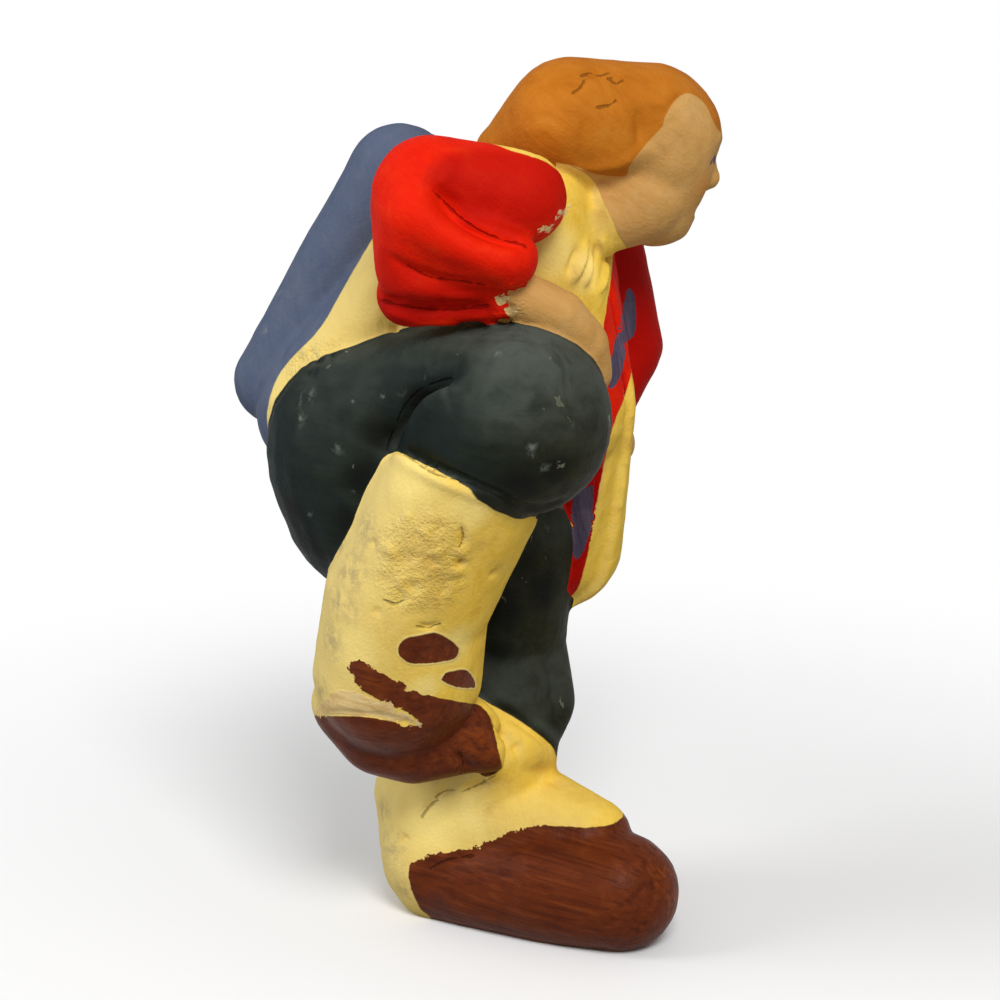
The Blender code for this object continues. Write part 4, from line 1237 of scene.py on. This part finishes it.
class Textures:
    """The textures that every colour of paint shares, and the painted light and shade, stains and wear
    of some of them.
    """

    def __init__(self, tree):
        self.tree = tree
        self.place = add_node(tree, "ShaderNodeTexCoord").outputs["Object"]
        self.blotch = cloud(tree, self.place, "blotch")
        self.broad = calculate(tree, "SUBTRACT", cloud(tree, self.place, "broad"), 0.5)
        self.cool_side_light = kept(tree, "cool_side_light")
        self.group = brushed_paint_group()
        self.strokes = {}
        for name, lean in BRUSH_LEANS.items():
            lean = [radians(angle) for angle in lean]
            drawn = drawn_out(tree, self.place, lean, BRUSH_MARK)
            self.strokes[name] = cloud(tree, drawn, "stroke")

    def brushed_on(self, name):
        """Return one paint's colour with its own streaks and blotches."""
        paint, deep, pale, streaks, blotches, _, brush, _, _ = PAINT_LOOKS[name]
        return add_group(self.tree, self.group, {
            "Stroke": self.strokes[brush], "Blotch": self.blotch, "Paint": linear(*paint),
            "Deep": linear(*deep), "Pale": linear(*pale), "Streaks": streaks, "Blotches": blotches,
        })["Colour"]

    def yellow(self):
        """Return the yellow: cooler where side light is painted, paler at painted highlights, with ochre
        stains and greyer patches.
        """
        tree = self.tree
        # Painted cool light on the faces turned behind him
        colour = tint(tree, self.brushed_on("yellow"), self.cool_side_light, "yellow in cool side light")
        # Painted highlights: paler yellow in the listed spots
        painted_highlight = fade(tree, kept(tree, "painted_highlight"), 0.0, 0.8)
        colour = tint(tree, colour, painted_highlight, "painted_highlight")
        stained = times(tree, kept(tree, "ochre"), fade(tree, self.blotch, 0.35, 0.6))
        colour = tint(tree, colour, stained, "ochre stain")
        # Greyer, cooler yellow in the listed patches
        greyed_share = times(tree, kept(tree, "greyed"), fade(tree, self.broad, -0.12, 0.12))
        return tint(tree, colour, greyed_share, "greyed yellow")

    def shaded(self, name):
        """Return one paint with the tints that only it has, some of them painted light and shade."""
        tree = self.tree
        own = self.brushed_on(name)
        if name == "flesh":
            own = tint(tree, own, kept(tree, "rouge"), "rouge")
        if name == "red":
            # Painted shade: the red darkened where it lies in shade
            own = tint(tree, own, kept(tree, "red_shade"), "red shade")
        if name == "trousers":
            # Painted cool light: bluer cloth on faces turned behind him
            own = tint(tree, own, self.cool_side_light, "cloth in cool side light")
            # Painted top light: lighter, blotchy cloth on upward faces, less where the cool side light
            # is painted
            top_light = times(tree, kept(tree, "lit_from_above"), fade(tree, self.blotch, 0.0, 0.6))
            top_light = times(tree, top_light, fade(tree, self.cool_side_light, 1.0, 0.4))
            own = tint(tree, own, top_light, "top_light")
            # Painted shade: near-black in the listed spots in the creases and between the legs
            own = tint(tree, own, fade(tree, kept(tree, "painted_shade"), 0.0, 0.8), "near-black shade")
        if name == "brown":
            glazed = times(tree, kept(tree, "ochre"), fade(tree, self.strokes["level"], 0.3, 0.7))
            own = tint(tree, own, glazed, "glaze")
            # Darker purple-brown in the listed patches on the raised shoe's left part
            own = tint(tree, own, kept(tree, "greyed"), "dark brown")
        return own

    def flecked(self, colour):
        """Return a colour with pale flecks on the dark cloth and a rub where it is scuffed."""
        tree = self.tree
        drawn = drawn_out(tree, self.place, FLECK_LEAN, FLECK_MARK)
        warp = cloud(tree, self.place, "fleck warp", "Color")
        inputs = {"Vector": drawn, "Warp": warp, "Amount": 0.3}
        flecks = add_group(tree, specks_group(), inputs)["Flecks"]
        flecks = times(tree, flecks, fade(tree, kept(tree, "trousers_edge"), 0.0, 0.4))
        colour = tint(tree, colour, flecks, "flecks")
        scuff = times(tree, kept(tree, "scuffed"), fade(tree, self.broad, -0.06, 0.14))
        return tint(tree, colour, scuff, "scuff")

    def dark_line(self):
        """Return how much of a dark line there is, thin and broken along its line: cracks and scratches,
        and painted shade in the creases.
        """
        tree = self.tree
        aside = calculate(tree, "ABSOLUTE", kept(tree, "dark_line_offset"))
        shaken = calculate(tree, "ADD", aside, times(tree, self.broad, 0.9))
        return times(tree, fade(tree, shaken, 0.2, 0.0), fade(tree, kept(tree, "dark_line_gap"), 0.8, 0.5))


def painted_clay():
    """Return the paint of the whole man: each colour brushed on in turn over the yellow."""
    material, tree, shader = new_material("painted clay")
    textures = Textures(tree)
    ragged = ragged_edge_group()
    torn = calculate(tree, "ADD", kept(tree, "torn"), LEAST_WOBBLE)
    wobble = times(tree, times(tree, textures.broad, torn), WOBBLE_MM)

    colour = textures.yellow()
    rough = PAINT_LOOKS["yellow"][5]
    height = times(tree, textures.strokes["upright"], STROKE_HEIGHT)
    for name in list(PAINT_LOOKS)[1:]:
        own_rough, brush, tear, spread = PAINT_LOOKS[name][5:]
        cover = add_group(tree, ragged, {
            "Edge": kept(tree, name + "_edge"), "Wobble": wobble, "Tear": tear, "Spread": spread,
        })["Cover"]
        colour = blend_colours(tree, cover, colour, textures.shaded(name))
        own_height = times(tree, textures.strokes[brush], STROKE_HEIGHT)
        own_height = calculate(tree, "ADD", own_height, COAT_OF_PAINT)
        height = blend_values(tree, cover, height, own_height)
        rough = blend_values(tree, cover, rough, own_rough)
    dark_line = textures.dark_line()
    # Dark lines: cracks and scratches, and painted shade along the creases
    colour = tint(tree, textures.flecked(colour), dark_line, "dark_line")
    fine = cloud(tree, textures.place, "grit")
    grit = calculate(tree, "ADD", times(tree, kept(tree, "crumbled"), 1.2), 0.4)
    height = calculate(tree, "SUBTRACT", height, dark_line)
    height = calculate(tree, "ADD", height, times(tree, fine, grit))
    inputs = {"Height": height, "Distance": BUMP_METRES, "Strength": BUMP_STRENGTH}
    tree.links.new(colour, shader.inputs["Base Color"])
    tree.links.new(rough, shader.inputs["Roughness"])
    tree.links.new(add_node(tree, "ShaderNodeBump", inputs).outputs[0], shader.inputs["Normal"])
    shader.inputs["Specular IOR Level"].default_value = MATTE
    return material


# The paper's reach and grey, where it turns white, in metres, and the light
PAPER_RADIUS = 4.0
PAPER_SEEN, PAPER_BOUNCE = 0.92, 0.32
WHITE_FROM, WHITE_AT = 0.05, 0.17
WHITE = (1.0, 1.0, 1.0, 1.0)
SURROUNDINGS = 0.45
LAMP_TARGET = Vector((0.0, 0.0, 0.06))
LAMPS = [
    ("window", (0.27, -0.48, 0.56), 0.26, 3.7),
    ("left_window", (-0.52, -0.30, 0.42), 0.30, 1.7),
]


def grey(level):
    """Return a grey of a level."""
    return (level, level, level, 1.0)


def stage_floor():
    """Make the pale paper that he stands on, which turns white away from him."""
    bm = bmesh.new()
    bmesh.ops.create_circle(bm, cap_ends=True, segments=96, radius=PAPER_RADIUS)
    mesh = bpy.data.meshes.new("studio_floor")
    bm.to_mesh(mesh)
    bm.free()
    floor = placed("studio_floor", mesh)
    material, tree, paper = new_material("studio paper")
    paper.inputs["Roughness"].default_value = 0.95
    paper.inputs["Specular IOR Level"].default_value = 0.1
    place = add_node(tree, "ShaderNodeTexCoord").outputs["Object"]
    away = add_node(tree, "ShaderNodeVectorMath", {0: place}, operation="LENGTH").outputs["Value"]
    rays = add_node(tree, "ShaderNodeLightPath")
    looked_at = calculate(tree, "MAXIMUM", rays.outputs["Is Camera Ray"], rays.outputs["Is Glossy Ray"])
    looked_at = calculate(tree, "MAXIMUM", looked_at, rays.outputs["Is Transmission Ray"])
    tone = blend_colours(tree, looked_at, grey(PAPER_BOUNCE), grey(PAPER_SEEN))
    tree.links.new(tone, paper.inputs["Base Color"])
    share = times(tree, looked_at, fade(tree, away, WHITE_FROM, WHITE_AT))
    white = add_node(tree, "ShaderNodeEmission", {"Color": WHITE, "Strength": 1.0})
    mixed = add_node(tree, "ShaderNodeMixShader", {0: share, 1: paper.outputs[0], 2: white.outputs[0]})
    tree.links.new(mixed.outputs[0], tree.nodes["Material Output"].inputs["Surface"])
    mesh.materials.append(material)


def area_lamp(name, place, size, energy):
    """Add a soft square lamp that points at the man."""
    lamp = bpy.data.lights.new(name, "AREA")
    lamp.energy = energy
    lamp.size = size
    lamp_object = placed(name, lamp)
    lamp_object.location = place
    way = LAMP_TARGET - Vector(place)
    lamp_object.rotation_euler = way.to_track_quat("-Z", "Y").to_euler()


def light_and_camera():
    """Light the man softly and set the camera at the layout view."""
    scene = bpy.context.scene
    world = bpy.data.worlds.new("studio light")
    scene.world = world
    world.use_nodes = True
    tree = world.node_tree
    surroundings = tree.nodes["Background"]
    surroundings.inputs["Color"].default_value = WHITE
    surroundings.inputs["Strength"].default_value = SURROUNDINGS
    behind = add_node(tree, "ShaderNodeBackground", {"Color": WHITE, "Strength": 1.0})
    rays = add_node(tree, "ShaderNodeLightPath")
    inputs = {0: rays.outputs["Is Camera Ray"], 1: surroundings.outputs[0], 2: behind.outputs[0]}
    mixed = add_node(tree, "ShaderNodeMixShader", inputs)
    tree.links.new(mixed.outputs[0], tree.nodes["World Output"].inputs["Surface"])
    for name, place, size, energy in LAMPS:
        area_lamp(name, place, size, energy)
    lens = bpy.data.cameras.new("camera")
    lens.sensor_width = SENSOR_MM
    lens.lens = SENSOR_MM * VIEW_REACH / VIEW_MARKS
    lens.clip_start = 0.01
    lens.clip_end = 20.0
    camera = placed("camera", lens)
    camera.location = VIEW_EYE * MM
    camera.rotation_euler = VIEW_BACK.to_track_quat("Z", "Y").to_euler()
    scene.camera = camera
    scene.view_settings.view_transform = "Standard"


man = make_man()
man.data.materials.append(painted_clay())
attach(man, "root")
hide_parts("figurine")
stage_floor()
light_and_camera()
